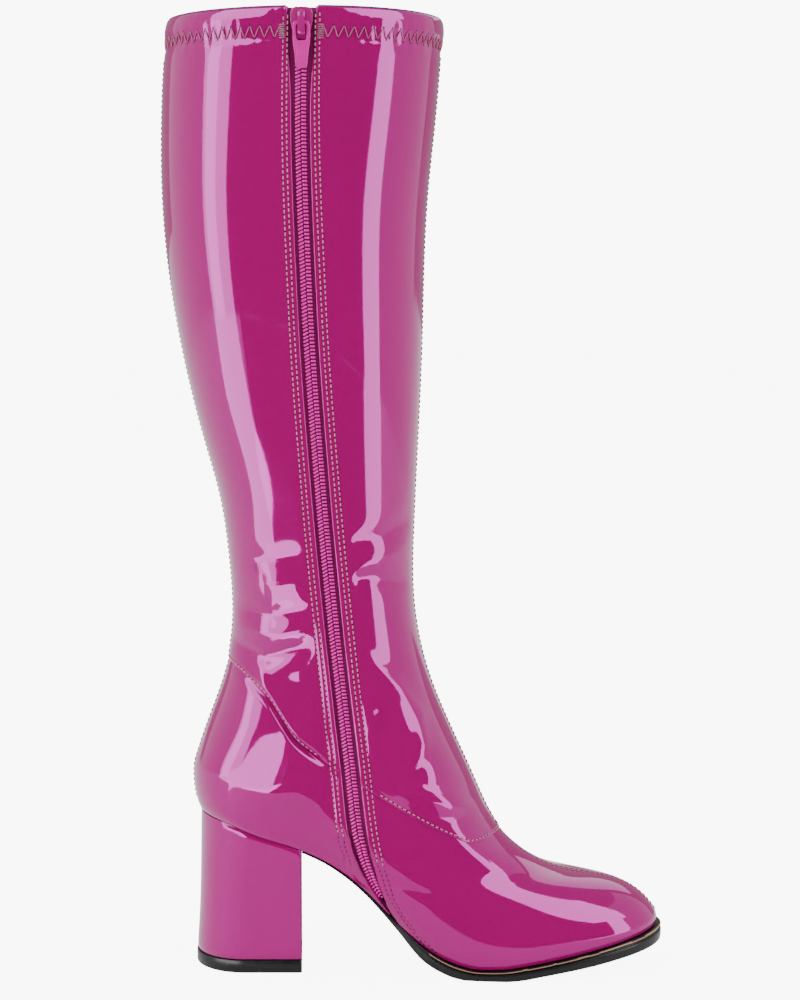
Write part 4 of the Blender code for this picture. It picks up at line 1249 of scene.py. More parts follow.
    def leg_panel(self) -> None:
        """The leg panel, from its turned lower edge at the ankle seam to its turned collar."""
        form = self.form
        counts = (62, 176, 66)
        seam = self.seam_under(7, counts)
        r = 0.5 * form.sizes.wall
        hem = ((0.0, 0.0011), (0.0, 0.0007), (0.00008, 0.0003), (0.00028, 0.00006), (0.0006, 0.0))
        start = hem[-1][0]
        rows = [(seam + rise, depth) for rise, depth in hem]
        for k in range(1, self.leg_rows + 1):
            rows.append((seam + start + (form.top - r - seam - start) * (k / self.leg_rows), 0.0))
        for turn in (math.pi * k / 6 for k in range(1, 7)):
            rows.append((np.full(len(seam), form.top - r + r * math.sin(turn)), r * (1 - math.cos(turn))))
        run = np.array([row for row, _ in rows])
        depth = np.array([deep for _, deep in rows])[:, None] + self.columns(counts)[1][None, :]
        depth = np.minimum(depth, form.sizes.wall)
        mesh = sheet_mesh("leg_panel", *self.skin(run, depth, depth, seam, counts))
        piece("leg_panel", mesh, [PATENT], ["upper"])

    def foot_panels(self) -> None:
        """The vamp and the counter, from the feather edge up to under the leg panel."""
        form = self.form
        counts = (104, 210, 72)
        seam = self.seam_under(6, counts)
        start = 0.0004
        rows = [(np.zeros(len(seam)), depth) for depth in (0.0022, 0.0012, 0.0004, 0.0001)]
        for share in (k / self.foot_rows for k in range(self.foot_rows + 1)):
            rows.append((start + (seam + self.tuck - start) * share, form.sizes.lap * share**6))
        run = np.array([row for row, _ in rows])
        edge = np.broadcast_to(self.columns(counts)[1], run.shape)
        depth = np.minimum(np.array([deep for _, deep in rows])[:, None] + edge, self.foot_edge)
        grid, out = self.skin(run, depth, edge, seam, counts)
        near = np.maximum(0.0, grid[..., 2] - form.sole_top(grid[..., 0]))
        grid[..., 2] += 0.5 * form.sizes.gap * np.maximum(0.0, 1.0 - near / 0.01)
        piece("foot_panels", sheet_mesh("foot_panels", grid, out), [PATENT], ["upper"])

    def lining(self) -> None:
        """The lining, a sheet inside the wall from the feather edge to the collar's turned edge."""
        form = self.form
        counts, rows = (40, 90, 40), 110
        sides, _ = self.columns(counts)
        run = np.linspace(0.0002, form.top - 0.5 * form.sizes.wall, rows)[:, None]
        run = np.repeat(run, len(sides), axis=1)
        angle = self.angles(run, counts)
        side = np.broadcast_to(sides, run.shape)
        out = form.outward(angle, run, side)
        grid = form.surface(angle, run, side)
        dip = np.minimum(self.relief.folds(grid), 0.0) * self.zip_fade(angle, run, side)
        grid = grid + out * (dip - form.sizes.wall)[..., None]
        piece("lining", sheet_mesh("lining", grid, -out), [LINING], ["upper"])

    def build(self) -> None:
        """Builds every sheet of the upper."""
        self.leg_panel()
        self.foot_panels()
        self.lining()


# ---------------------------------------------------------------------------------------------- stitches


@dataclass
class Stitching:
    """Every row of stitches on the upper, and the collar's piping.

    Attributes:
        upper: The upper that they are sewn into.
        pitch: Length of a stitch and the gap after it.
        thread: Radius of the thread.
        lift: Height of the pinholes' dark discs of painted shade over the surface.
        zig_step: Distance between the zigzag's turns.
        zig_swing: How far its turns lie from its middle.
    """

    upper: Upper
    pitch: float = 0.0026
    thread: float = 0.00034
    lift: float = 0.00005
    zig_step: float = 0.0024
    zig_swing: float = 0.0028

    @staticmethod
    def place(name: str, made: Shape, finish: Finish) -> None:
        """Puts stitches or holes on the boot."""
        piece(name, mesh_of(name, *made), [finish])

    def on_surface(
        self, angle: np.ndarray, run: np.ndarray, side: np.ndarray, rise: float = 0.0
    ) -> tuple[np.ndarray, np.ndarray]:
        """Points a rise above the dressed surface, and the normals there."""
        form = self.upper.form
        angle, run, side = np.broadcast_arrays(angle, run, side)
        seam = form.seam_run(angle, side)
        out = form.outward(angle, run, side)
        height = self.upper.full_relief(angle, run, side, seam)
        share = np.clip(run / np.maximum(seam, 1e-6), 0.0, 1.0)
        depth = np.where(run < seam, form.sizes.lap * share**6, 0.0)
        return form.surface(angle, run, side) + out * (height - depth + rise)[..., None], out

    def row(
        self, angle: np.ndarray, run: np.ndarray, side: int, fill: float = 0.72, hole_shade: float = 0.00048
    ) -> tuple[Shape, Shape]:
        """A row of stitches and their pinholes, as dark discs of painted shade, along a line given by many close
        points.

        Args:
            angle: Angles along the line.
            run: Runs along the line.
            side: The line's side.
            fill: Share of the pitch that a stitch shows.
            hole_shade: Radius of a pinhole's dark disc of painted shade.

        Returns:
            The stitches and the pinholes' dark discs of painted shade.
        """
        length = travel(self.upper.form.surface(angle, run, side))
        begin = np.arange(max(2, int(length[-1] / self.pitch))) * self.pitch
        number = np.arange(len(length))

        def at(where: np.ndarray) -> tuple[np.ndarray, np.ndarray]:
            """Surface points at lengths along the line."""
            spot = np.interp(where, length, number)
            return self.on_surface(np.interp(spot, number, angle), np.interp(spot, number, run), side)

        first, out = at(begin)
        thread = capsules(first, at(begin + fill * self.pitch)[0], out, self.thread, arch=0.00014)
        ends = np.concatenate((begin - 0.08 * self.pitch, begin + (fill + 0.08) * self.pitch))
        spots, outs = at(np.clip(ends, 0.0, length[-1]))
        return thread, discs(spots + outs * self.lift, outs, hole_shade)

    def zip_rows(self) -> None:
        """Two rows on each side of the zip, which show as bare pinholes near the sole; every pinhole is a dark disc of
        painted shade.
        """
        form = self.upper.form
        threads, hole_shades = [], []
        bare = form.zip_run(0.064)
        for way, number in ((-1, 0), (-1, 1), (1, 0), (1, 1)):
            low = form.zip_run(0.031 if way < 0 else 0.047)
            for first, last in ((low, bare), (bare, form.top - 0.0022)):
                run = np.linspace(first, last, 900)
                thread, hole_shade = self.row(form.beside_zip(run, form.stitch_line(run, number), way), run, -1)
                hole_shades.append(hole_shade)
                if first == bare:
                    threads.append(thread)
        self.place("zip_stitches", joined(threads), THREAD)
        self.place("zip_pinhole_shade", joined(hole_shades), HOLE_SHADE)

    def ankle_row(self) -> None:
        """The topstitch just above the ankle seam, with its pinholes as dark discs of painted shade."""
        form = self.upper.form
        front, rear = (float(form.beside_zip(form.runs[7], 0.0082, way)) for way in (-1, 1))
        threads, hole_shades = [], []
        for low, high, side in ((front, 0.0, -1), (0.0, math.pi, 1), (math.pi, rear, -1)):
            angle = np.linspace(low, high, 500)
            thread, hole_shade = self.row(angle, form.seam_run(angle, side) + 0.0016, side, 0.70, 0.00030)
            threads.append(thread)
            hole_shades.append(hole_shade)
        self.place("ankle_stitches", joined(threads), THREAD)
        self.place("ankle_pinhole_shade", joined(hole_shades), HOLE_SHADE)

    def centre_rows(self) -> None:
        """The two rows down each closed seam, at the front and the back."""
        form = self.upper.form
        beside, near = 0.0013, 0.05
        threads = []
        run = np.linspace(0.006, form.top - 0.016, 1200)
        for end, side in ((0.0, -1), (0.0, 1), (math.pi, -1), (math.pi, 1)):
            reach = form.surface(abs(end - near), run, side) - form.surface(end, run, side)
            angle = np.abs(end - beside * near / np.maximum(np.linalg.norm(reach, axis=1), 1e-6))
            threads.append(self.row(angle, run, side, 0.7)[0])
        self.place("centre_stitches", joined(threads), PINK_THREAD)

    def around(self, run: float, gap: float, count: int, cut: int) -> tuple[np.ndarray, np.ndarray]:
        """Angles and sides from the zip's front edge round the toe and the heel to its rear edge.

        Args:
            run: How far up the boot.
            gap: Distance from the slot's edge at both ends.
            count: Points on each part of the inner side, half those on the outer side.
            cut: Points left out where two parts meet.

        Returns:
            Angles and sides.
        """
        start, stop = (float(self.upper.form.beside_zip(run, gap, way)) for way in (-1, 1))
        front = np.linspace(start, 0, count)[: count - cut]
        outer = np.linspace(0, math.pi, 2 * count)[: 2 * count - cut]
        angle = np.concatenate((front, outer, np.linspace(math.pi, stop, count)))
        return angle, np.repeat((-1, 1, -1), (len(front), len(outer), count))

    def collar_zigzag(self) -> None:
        """The zigzag round the collar, with a bar of close stitches at each end beside the zip."""
        form = self.upper.form
        middle = form.top - self.upper.collar_band
        angle, side = self.around(middle, 0.0012, 300, 0)
        length = travel(form.surface(angle, middle, side))
        number = np.arange(len(length))
        count = int(length[-1] / self.zig_step)
        where = np.interp(np.linspace(0, length[-1], count + 1), length, number)
        sides = side[np.clip(np.round(where).astype(int), 0, len(side) - 1)]
        swing = np.where(np.arange(count + 1) % 2 == 0, -self.zig_swing, self.zig_swing)
        spots, out = self.on_surface(np.interp(where, number, angle), middle + swing, sides)
        shapes = [capsules(spots[:-1], spots[1:], out[:-1], 0.00026, arch=0.00022)]
        for way in (-1, 1):
            for k in range(7):
                run = np.array([middle - 0.0030 + 0.0010 * k])
                a, b = (self.on_surface(form.beside_zip(run, d, way), run, -1, 0.0001) for d in (0.0008, 0.0042))
                shapes.append(capsules(a[0], b[0], a[1], self.thread, arch=0.0003))
        self.place("collar_zigzag", joined(shapes), PINK_THREAD)
        # Pinholes of the zigzag as dark discs of painted shade.
        self.place("collar_pinhole_shade", discs(spots + out * self.lift, out, 0.00045), HOLE_SHADE)

    def collar_piping(self) -> None:
        """The dark piping between the patent and the lining, round the collar from one zip edge to the other."""
        form = self.upper.form
        angle, side = self.around(form.top, 0.0010, 120, 1)
        out = form.outward(angle, form.top, side)
        spots = form.surface(angle, form.top, side) - out * (0.5 * form.sizes.wall)
        cord = capsules(spots[:-1], spots[1:], out[:-1], 0.00055, sides=8, profile=((0.0, 1.0), (1.0, 1.0)))
        self.place("collar_piping", cord, PIPING)

    def build(self) -> None:
        """Builds every row."""
        self.zip_rows()
        self.ankle_row()
        self.centre_rows()
        self.collar_zigzag()
        self.collar_piping()


# ---------------------------------------------------------------------------------------------- zip


@dataclass
class ZipChain:
    """The coil, its tape, the slider and the pull tab.

    Attributes:
        form: The boot's surface.
        pitch: Distance between the coil's turns.
        wire: Radius of the coil's wire.
        coil_end: Height at which the coil begins.
        slider_width: Width of the slider.
        slider_length: Its length.
        slider_plate: Thickness of its plates.
        bridge_length: Length of the bridge.
        bridge_width: Its width.
        bridge_rise: Room under it.
        bridge_thick: Its thickness.
        pull_length: Length of the pull tab.
        pull_width: Its width.
        pull_thick: Its thickness.
        pull_play: Room between the bridge and the pull's eye at each side.
        post_drop: How far down the slider its post reaches.
    """

    form: BootForm
    pitch: float = 0.00174
    wire: float = 0.00062
    coil_end: float = 0.0375
    slider_width: float = 0.0104
    slider_length: float = 0.0146
    slider_plate: float = 0.0013
    bridge_length: float = 0.0120
    bridge_width: float = 0.0034
    bridge_rise: float = 0.0022
    bridge_thick: float = 0.0013
    pull_length: float = 0.0215
    pull_width: float = 0.0080
    pull_thick: float = 0.0014
    pull_play: float = 0.0007
    post_drop: float = 0.0058

    def coils(self) -> None:
        """The two halves of the coil, as slanted turns of wire."""
        form = self.form
        box_low, box_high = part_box("zip_coil_front")
        low = form.zip_run(min(box_low.z + 0.001, self.coil_end))
        fine = np.linspace(low, form.zip_run(box_high.z - 0.0004), 2400)
        length = travel(form.zip_frame(fine, form.sizes.tape_depth)[0])
        run = np.interp(np.arange(0.0008, length[-1] - 0.0008, self.pitch), length, fine)
        place, across, out, along = form.zip_frame(run, form.sizes.tape_depth - form.sizes.gap)
        half = 0.5 * form.sizes.coil_width
        reach = np.minimum(half - 0.00045, np.maximum(form.slot_at(run) - 0.0003, 0.0008))[:, None]
        profile = ((0.0, 0.55), (0.07, 1.0), (0.3, 0.96), (0.62, 0.96), (0.93, 1.0), (1.0, 0.55))
        for end, way, shift, slant in (("front", 1, 0.0, 0.0001), ("back", -1, 0.5, 0.0006)):
            base = place + along * (shift * self.pitch)
            inner = base + across * (way * 0.00020) + out * 0.00095 + along * slant
            outer = base + across * (way * reach) + out * 0.00080 - along * slant
            teeth = capsules(inner, outer, out, self.wire, arch=0.00030, sides=8, profile=profile)
            piece(f"coil_teeth_{end}", mesh_of(f"coil_teeth_{end}", *teeth), [NYLON], [f"zip_coil_{end}"])

    @staticmethod
    def thicken(work: bmesh.types.BMesh, faces: Sequence[bmesh.types.BMFace], shift: float) -> None:
        """Extrudes faces along Y and turns every normal out."""
        lifted = bmesh.ops.extrude_face_region(work, geom=faces)
        moved = [v for v in lifted["geom"] if isinstance(v, bmesh.types.BMVert)]
        bmesh.ops.translate(work, verts=moved, vec=(0.0, shift, 0.0))
        bmesh.ops.recalc_face_normals(work, faces=work.faces)

    def plate(
        self,
        levels: Sequence[tuple[float, float]],
        low: float,
        high: float,
        centre: Sequence[float],
        soft: float,
    ) -> bmesh.types.BMesh:
        """A flat outline thickened along Y with softened edges.

        Args:
            levels: Up and half width of the outline.
            low: Near side along -Y, from the centre.
            high: Far side along -Y.
            centre: The outline's centre.
            soft: Radius of its edges.

        Returns:
            The plate.
        """
        work = bmesh.new()
        x, y, z = centre
        outline = [(half, up) for up, half in levels] + [(-half, up) for up, half in reversed(levels)]
        face = work.faces.new([work.verts.new((x + half, y - low, z + up)) for half, up in outline])
        self.thicken(work, [face], low - high)
        bmesh.ops.bevel(work, geom=list(work.edges), offset=soft, segments=3, profile=0.5, affect="EDGES")
        return work

    @staticmethod
    def gather(target: bmesh.types.BMesh, more: bmesh.types.BMesh) -> None:
        """Adds one bmesh to another."""
        mesh = bpy.data.meshes.new("part")
        more.to_mesh(mesh)
        more.free()
        target.from_mesh(mesh)
        bpy.data.meshes.remove(mesh)

    def slider(self) -> None:
        """The slider: shield plate with side flanges, the bridge over it and the plate behind the tape."""
        low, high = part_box("zip_slider")
        x, z = 0.5 * (low.x + high.x), 0.5 * (low.z + high.z)
        face = low.y + self.bridge_rise + self.bridge_thick + self.slider_plate
        back = high.y - self.slider_plate
        length, half = 0.5 * self.slider_length, 0.5 * self.slider_width
        shield = [(up * length, width * half) for up, width in SHIELD]
        behind = [(up * 0.96, width * 0.92) for up, width in shield]
        post = [(length - 0.25 * self.post_drop, 0.0011), (length - self.post_drop + 0.0003, 0.0011)]
        flange = [(0.55 * length, 0.00045), (-0.95 * length, 0.00045)]
        work = self.plate(shield, 0.0, self.slider_plate, (x, face, z), 0.00035)
        self.gather(work, self.plate(behind, -self.slider_plate, 0.0, (x, back, z), 0.0003))
        self.gather(work, self.plate(post, face - back - 0.0003, 0.0003, (x, face, z), 0.0002))
        for way in (-1, 1):
            self.gather(work, self.plate(flange, -0.0006, 0.0003, (x + way * 0.72 * half, face, z), 0.0002))
        self.gather(work, self.bridge(x, face - self.slider_plate, z))
        mesh = settled(work, bpy.data.meshes.new("slider_body"), 50)
        # The slider gets the darker copy of the pull's enamel, a painted shade.
        piece("slider_body", mesh, [SHADED_SLIDER_ENAMEL], ["zip_slider"])

    def bridge(self, x: float, outer: float, middle: float) -> bmesh.types.BMesh:
        """The bridge that holds the pull: an arched strap with rounded shoulders.

        Args:
            x: Its place across.
            outer: Place of the shield's face along Y.
            middle: Height of its middle.

        Returns:
            The bridge.
        """
        end, width = 0.5 * self.bridge_length, 0.5 * self.bridge_width
        rise, thick = self.bridge_rise, self.bridge_thick
        path = [(-end + 0.5 * thick, -0.2 * thick), (-end + 0.5 * thick, 0.45 * rise)]
        path += [(-end + 0.7 * thick, 0.85 * rise), (-end + 1.4 * thick, rise + 0.42 * thick)]
        level = [(-0.3 * end, rise + 0.5 * thick), (0.3 * end, rise + 0.5 * thick)]
        line = np.array(path + level + [(-z, y) for z, y in reversed(path)])
        sides, power = 12, 0.55
        work = bmesh.new()
        rings = []
        for i, (z, y) in enumerate(line):
            step = line[min(i + 1, len(line) - 1)] - line[max(i - 1, 0)]
            step = step / np.linalg.norm(step)
            ring = []
            for turn in (2 * math.pi * k / sides for k in range(sides)):
                a = width * math.copysign(abs(math.cos(turn)) ** power, math.cos(turn))
                b = 0.5 * thick * math.copysign(abs(math.sin(turn)) ** power, math.sin(turn))
                ring.append(work.verts.new((x + a, outer - y - step[0] * b, middle + z - step[1] * b)))
            rings.append(ring)
        for one, two in zip(rings, rings[1:]):
            for k in range(sides):
                n = (k + 1) % sides
                work.faces.new((one[k], one[n], two[n], two[k]))
        work.faces.new(rings[0])
        work.faces.new(rings[-1])
        return work

    def pull(self) -> None:
        """The pull tab: a long eye above, a plain tapering tab with a raised panel below."""
        low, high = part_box("zip_pull")
        half, top, long = 0.5 * self.pull_width, 0.5 * self.pull_thick, self.pull_length
        hinge = (0.5 * (low.x + high.x), 0.5 * (low.y + high.y), high.z - top)
        outline = [(top, 0.62 * half), (top - 0.0003, 0.84 * half), (-0.0012, half)]
        outline += [(up * long, width * half) for up, width in PULL_SIDE] + [(top - long, 0.34 * half)]
        side = 0.5 * self.bridge_width + self.pull_play
        corner = 0.0010
        across, eye_top, eye_low = side - corner, -top - corner, -0.5 * self.bridge_length - self.bridge_rise + corner
        eye = []
        for cx, cz, start in (
            (across, eye_top, 0.5), (across, eye_low, 0.0), (-across, eye_low, -0.5), (-across, eye_top, -1.0)
        ):
            for turn in (math.pi * (start - k / 6) for k in range(4)):
                eye.append((cx + corner * math.cos(turn), cz + corner * math.sin(turn)))
        work = bmesh.new()
        edges = []
        for ring in ([(w, u) for u, w in outline] + [(-w, u) for u, w in reversed(outline)], eye):
            verts = [work.verts.new((hinge[0] + x, hinge[1] + top, hinge[2] + z)) for x, z in ring]
            edges += [work.edges.new((verts[i], verts[(i + 1) % len(verts)])) for i in range(len(verts))]
        filled = bmesh.ops.triangle_fill(work, use_beauty=True, edges=edges)
        self.thicken(work, [f for f in filled["geom"] if isinstance(f, bmesh.types.BMFace)], -self.pull_thick)
        rim = [e for e in work.edges if len(e.link_faces) == 2 and e.calc_face_angle(0.0) > math.radians(60)]
        bmesh.ops.bevel(work, geom=rim, offset=0.00032, segments=3, profile=0.5, affect="EDGES")
        panel = [(-0.56 * long, 0.52 * half), (-0.90 * long, 0.40 * half)]
        self.gather(work, self.plate(panel, top - 0.0004, top + 0.00012, hinge, 0.00015))
        mesh = settled(work, bpy.data.meshes.new("pull_tab"), 45)
        piece("pull_tab", mesh, [ENAMEL], ["zip_pull"], Body.PULL)

    def build(self) -> None:
        """Builds the zip and dresses its tape."""
        self.coils()
        self.slider()
        self.pull()
        dress("zip_tape", TAPE)


# ---------------------------------------------------------------------------------------------- sole and heel


@dataclass
class Sole:
    """The outsole with its groove and rounded edge, and a cream band of painted highlight along the top of the
    forepart's edge.

    Attributes:
        form: The boot's surface.
        toe_stations: Stations round the toe.
        shank_stations: Stations from the ball to the heel's breast.
        cream: Top and bottom of the cream band of painted highlight, as shares of the edge's height.
    """

    form: BootForm
    toe_stations: int = 60
    shank_stations: int = 90
    cream: tuple[float, float] = (0.04, 0.13)

    def levels(self, x: np.ndarray) -> tuple[np.ndarray, np.ndarray]:
        """Heights of the top and the bottom of the edge at places along the foot."""
        high = self.form.sole_top(x) - 0.5 * self.form.sizes.gap
        return high, np.minimum(self.form.tread(x), high - self.form.sizes.shank_thick)

    def build(self) -> None:
        """Builds the sole."""
        form = self.form
        s = form.sizes
        toe, flat_front, end = form.base[0], s.back_x + 0.652 * s.foot_length, s.breast_x + s.gap
        turn = 0.5 * math.pi * np.arange(self.toe_stations) / (self.toe_stations - 1)
        rest = np.arange(1, self.shank_stations + 1) / self.shank_stations
        x = np.concatenate((toe - (toe - flat_front) * (1 - np.cos(turn)), flat_front + (end - flat_front) * rest))
        angle, full = form.angle_at(x), form.lip(x)
        size = np.minimum(1.0, np.maximum(0.2, full / s.sole_lip))
        sections = []
        for side in (-1, 1):
            columns = []
            for drop, cut in SOLE_EDGE[::-side]:
                point = form.feather(angle, side, full - cut * s.sole_lip * size)
                point[-1, 0] = form.breast_at(point[-1, 1]) + s.gap
                high, low = self.levels(point[:, 0])
                point[:, 2] = high + (low - high) * drop
                columns.append(point)
            sections.append(np.stack(columns, 1))
        mesh = closed_mesh("sole_unit", np.concatenate(sections, 1), 55)
        self.paint_lip_highlight(mesh)
        piece("sole_unit", mesh, [RUBBER, PAINTED_LIP_HIGHLIGHT], ["outsole"])

    def paint_lip_highlight(self, mesh: bpy.types.Mesh) -> None:
        """Gives the top of the forepart's edge a cream material: a painted highlight for the light caught on the sole's
        glossy lip.
        """
        sizes = self.form.sizes
        for face in mesh.polygons:
            high, low = self.levels(face.center.x)
            forepart = face.center.x > sizes.back_x + 0.50 * sizes.foot_length
            inside = self.cream[0] < (high - face.center.z) / (high - low) < self.cream[1]
            face.material_index = int(forepart and inside and abs(face.normal.z) < 0.95)


@dataclass
class Heel:
    """The covered block heel and its top lift.

    Attributes:
        form: The boot's surface.
        levels: Levels up the heel.
        round_edge: Height in which the cover's edges turn.
    """

    form: BootForm
    levels: int = 46
    round_edge: float = 0.0005

    def outline(self, back: float, half: float) -> np.ndarray:
        """Plan of the heel: a round back, straight sides and a flat breast, inner side first."""
        form = self.form
        corner = form.sizes.breast_corner
        centre = back + half * 0.98
        rings = []
        for side in (-1, 1):
            breast = float(form.breast_at(side * half))
            flat = [side * (half - corner) * share for share in np.linspace(0.0, 1.0, 8)[:-1]]
            points = [(float(form.breast_at(y)), y) for y in flat]
            for turn in (0.5 * math.pi * i / 6 for i in range(7)):
                y = half - corner + corner * math.sin(turn)
                points.append((breast - corner + corner * math.cos(turn), side * y))
            for share in (0.33, 0.66):
                points.append((breast - corner + (centre - breast + corner) * share, side * half))
            for turn in (0.5 * math.pi * i / 26 for i in range(27)):
                points.append((centre - (centre - back) * math.sin(turn), side * half * math.cos(turn)))
            rings.append(points)
        return np.array(rings[0] + rings[1][-2:0:-1])

    def cover(self) -> np.ndarray:
        """Rings of the cover, from the top lift up to the seat, with edges turned in."""
        form = self.form
        s = form.sizes
        table = np.array(HEEL_LEVELS)
        back_at = Spline(table[:, 0], table[:, 1:])
        bottom = s.tip_thick + s.gap
        rows = []
        for k in range(self.levels + 1):
            up = k / self.levels
            back, half = back_at(np.array(up)) * (s.heel_depth, s.heel_width)
            rim = min(k, self.levels - k, 2)
            tuck = (0.00045, 0.00012, 0.0)[rim]
            plan = self.outline(float(back) + tuck, float(half) - tuck)
            if tuck:
                plan[:, 0] = np.minimum(plan[:, 0], s.breast_x)
            top = form.sole_top(plan[:, 0]) - 0.5 * s.gap
            level = bottom + (top - bottom) * up
            if rim == 1:
                level = bottom + 0.4 * self.round_edge if k < 3 else top - 0.4 * self.round_edge
            rows.append(np.column_stack((plan, np.broadcast_to(level, len(plan)))))
        return np.array(rows)

    def lift(self) -> np.ndarray:
        """Rings of the top lift."""
        s = self.form.sizes
        rows = []
        for z, inset in TOP_LIFT:
            plan = self.outline(-0.498 * s.heel_depth + inset, 0.504 * s.heel_width - inset)
            rows.append(np.column_stack((plan, np.full(len(plan), z))))
        return np.array(rows)

    def build(self) -> None:
        """Builds the cover and the top lift."""
        piece("heel_cover", closed_mesh("heel_cover", self.cover(), 60), [PATENT], ["heel"])
        piece("top_lift", closed_mesh("top_lift", self.lift(), 60), [RUBBER], ["heel_tip"])


# ---------------------------------------------------------------------------------------------- studio


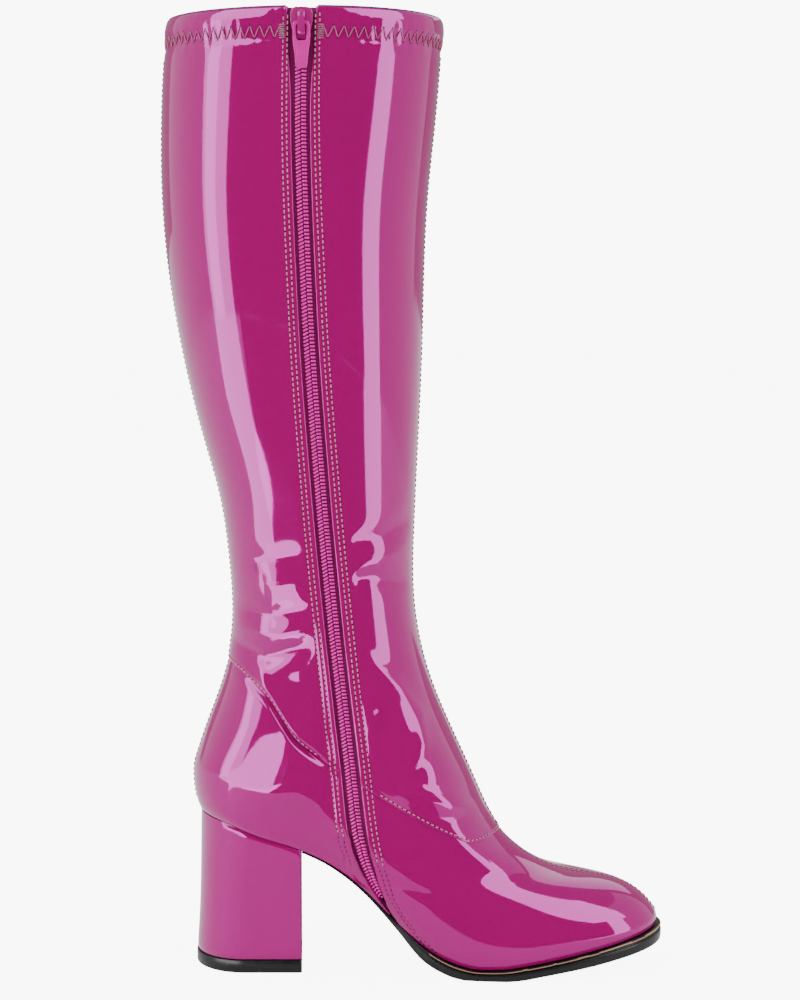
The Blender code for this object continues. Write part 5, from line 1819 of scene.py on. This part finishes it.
@dataclass
class Studio:
    """Floor, lights, cards that the patent mirrors, and camera.

    Attributes:
        surround: Radiance of the white surroundings.
        backdrop: Radiance of the backdrop and floor to the camera.
        mirrored: Radiance of the surroundings in the patent.
        table_glow: Extra radiance of the floor in the patent.
        softbox: Radiance of the softboxes' mirror images.
        lamp: Radiance of the lamps that light the colours.
        far: Distance of the lamps and of most cards.
        aim: Height at which the lamps aim.
        lift: Height of the cards on the floor.
        centre: Middle of the studio in plan.
    """

    surround: float = 1.0
    backdrop: float = 9.0
    mirrored: float = 0.40
    table_glow: float = 0.35
    softbox: float = 8.0
    lamp: float = 1.6
    far: float = 1.7
    aim: float = 0.25
    lift: float = 0.003
    centre: tuple[float, float] = (0.06, 0.0)

    def around(self, turn: np.ndarray, far: float, z: float) -> np.ndarray:
        """Points at azimuths round the boot, from the camera's direction towards the toe."""
        turn = np.asarray(turn, float)
        return np.stack((self.centre[0] + far * np.sin(turn), -far * np.cos(turn), np.full(turn.shape, z)), -1)

    def panel(self, name: str, azimuth: float, height: float, wide: float, tall: float) -> None:
        """A lamp at an azimuth round the boot.

        Args:
            name: The light's name.
            azimuth: Degrees from the camera's direction.
            height: Height of its centre.
            wide: Its width.
            tall: Its height.
        """
        light = bpy.data.lights.new(name, "AREA")
        light.shape = "RECTANGLE"
        light.size, light.size_y = wide, tall
        light.energy = self.lamp * 4.0 * wide * tall
        made = placed(name, light)
        made.location = Vector(self.around(math.radians(azimuth), self.far, height))
        made.rotation_euler = (made.location - Vector((*self.centre, self.aim))).to_track_quat("Z", "Y").to_euler()
        made.visible_camera = made.visible_glossy = False

    def card(self, name: str, grid: np.ndarray, share: float) -> None:
        """A card that only reflections see.

        Args:
            name: The card's name.
            grid: Its points, row by row.
            share: Its radiance as a share of a softbox's; 0 is black.
        """
        mesh = mesh_of(name, grid, grid_faces(*grid.shape[:2]).tolist())
        finish = bpy.data.materials.new(name)
        finish.use_nodes = True
        Nodes(finish.node_tree).feed(finish.node_tree.nodes["Principled BSDF"], {
            "Base Color": (0.0, 0.0, 0.0, 1.0),
            "Specular IOR Level": 0.0,
            "Emission Color": WHITE,
            "Emission Strength": share * self.softbox,
        })
        mesh.materials.append(finish)
        made = placed(name, mesh)
        made.visible_camera = made.visible_diffuse = made.visible_shadow = made.visible_transmission = False

    def wall(
        self, name: str, azimuths: Sequence[float], heights: Sequence[float], far: float, share: float
    ) -> None:
        """A card bent round the boot, between two azimuths and two heights."""
        turn = np.radians(np.linspace(*azimuths, 24))
        self.card(name, np.array([self.around(turn, far, z) for z in heights]), share)

    def dome(
        self, name: str, first: Sequence[float], last: float, rise: Sequence[float], share: float
    ) -> None:
        """A card overhead, from one azimuth at each elevation to a last azimuth."""
        rows = []
        for level in np.linspace(rise[0], rise[-1], 12):
            turn = np.radians(np.linspace(np.interp(level, rise, first), last, 16))
            up = math.radians(level)
            rows.append(self.around(turn, self.far * math.cos(up), self.far * math.sin(up)))
        self.card(name, np.array(rows), share)

    def table(
        self, name: str, near: Sequence[tuple[float, float]], azimuths: Sequence[float], share: float
    ) -> None:
        """A card on the floor, from a near edge out to the bent cards."""
        rim = self.around(np.radians(np.linspace(*azimuths, len(near))), self.far, self.lift)
        self.card(name, np.array(([(x, y, self.lift) for x, y in near], rim)), share)

    def world(self) -> None:
        """The white surroundings, brighter to the camera and dimmer in the patent."""
        world = bpy.data.worlds.new("studio")
        world.use_nodes = True
        nodes = Nodes(world.node_tree)
        path = nodes.add("ShaderNodeLightPath", {})
        seen = {"To Min": self.surround, "To Max": self.mirrored, "Value": path["Is Glossy Ray"]}
        seen = nodes.add("ShaderNodeMapRange", seen)["Result"]
        level = {"To Min": seen, "To Max": self.backdrop, "Value": path["Is Camera Ray"]}
        level = nodes.add("ShaderNodeMapRange", level)["Result"]
        nodes.feed(world.node_tree.nodes["Background"], {"Strength": level, "Color": WHITE})
        bpy.context.scene.world = world

    def floor(self) -> None:
        """The plain pale floor, as bright as the backdrop to the camera."""
        size = 30.0
        corners = np.array([(-size, -size, 0), (size, -size, 0), (size, size, 0), (-size, size, 0)])
        mesh = mesh_of("floor", corners, [[0, 1, 2, 3]])
        finish = Finish("pale_floor", (0.86, 0.86, 0.87), (0.84, 0.84, 0.85), 0.4, 1.5, (0.7, 0.8)).material()
        nodes = Nodes(finish.node_tree)
        path = nodes.add("ShaderNodeLightPath", {})
        glow = nodes.maths("MULTIPLY", path["Is Glossy Ray"], self.table_glow)
        level = nodes.maths("MULTIPLY_ADD", path["Is Camera Ray"], self.backdrop - self.surround, glow)
        shader = finish.node_tree.nodes["Principled BSDF"]
        nodes.feed(shader, {"Emission Color": WHITE, "Emission Strength": level})
        mesh.materials.append(finish)
        placed("floor", mesh)

    def camera(self) -> None:
        """The camera at the photo's angle."""
        camera = bpy.data.cameras.new("camera")
        camera.lens, camera.sensor_width, camera.clip_start = 73.75, 36.0, 0.05
        made = placed("camera", camera)
        made.location = (0.07516, -1.010, 0.3176)
        made.rotation_euler = (math.radians(85.118), 0.0, 0.0)
        bpy.context.scene.camera = made

    def build(self) -> None:
        """Builds the surroundings, the floor, the lights, the cards and the camera."""
        self.world()
        self.floor()
        self.panel("lamp_back", -62.0, 0.60, 1.15, 2.2)
        self.panel("lamp_front", 64.0, 0.60, 0.85, 2.2)
        for name, *place in WALLS:
            self.wall(name, *place)
        for name, *place in DOMES:
            self.dome(name, *place)
        for name, *place in TABLES:
            self.table(name, *place)
        self.card("table_near", np.array(TABLE_NEAR), 1.5)
        self.camera()


def main() -> None:
    """Builds the boot's looks in order."""
    logging.basicConfig(level=logging.INFO, format="%(name)s %(message)s")
    Studio().build()
    form = BootForm(Sizes())
    upper = Upper(form, Relief(form))
    upper.build()
    Stitching(upper).build()
    ZipChain(form).build()
    Sole(form).build()
    Heel(form).build()
    dress("insole", SOCK)
    bpy.context.view_layer.update()


if __name__ == "__main__":
    main()
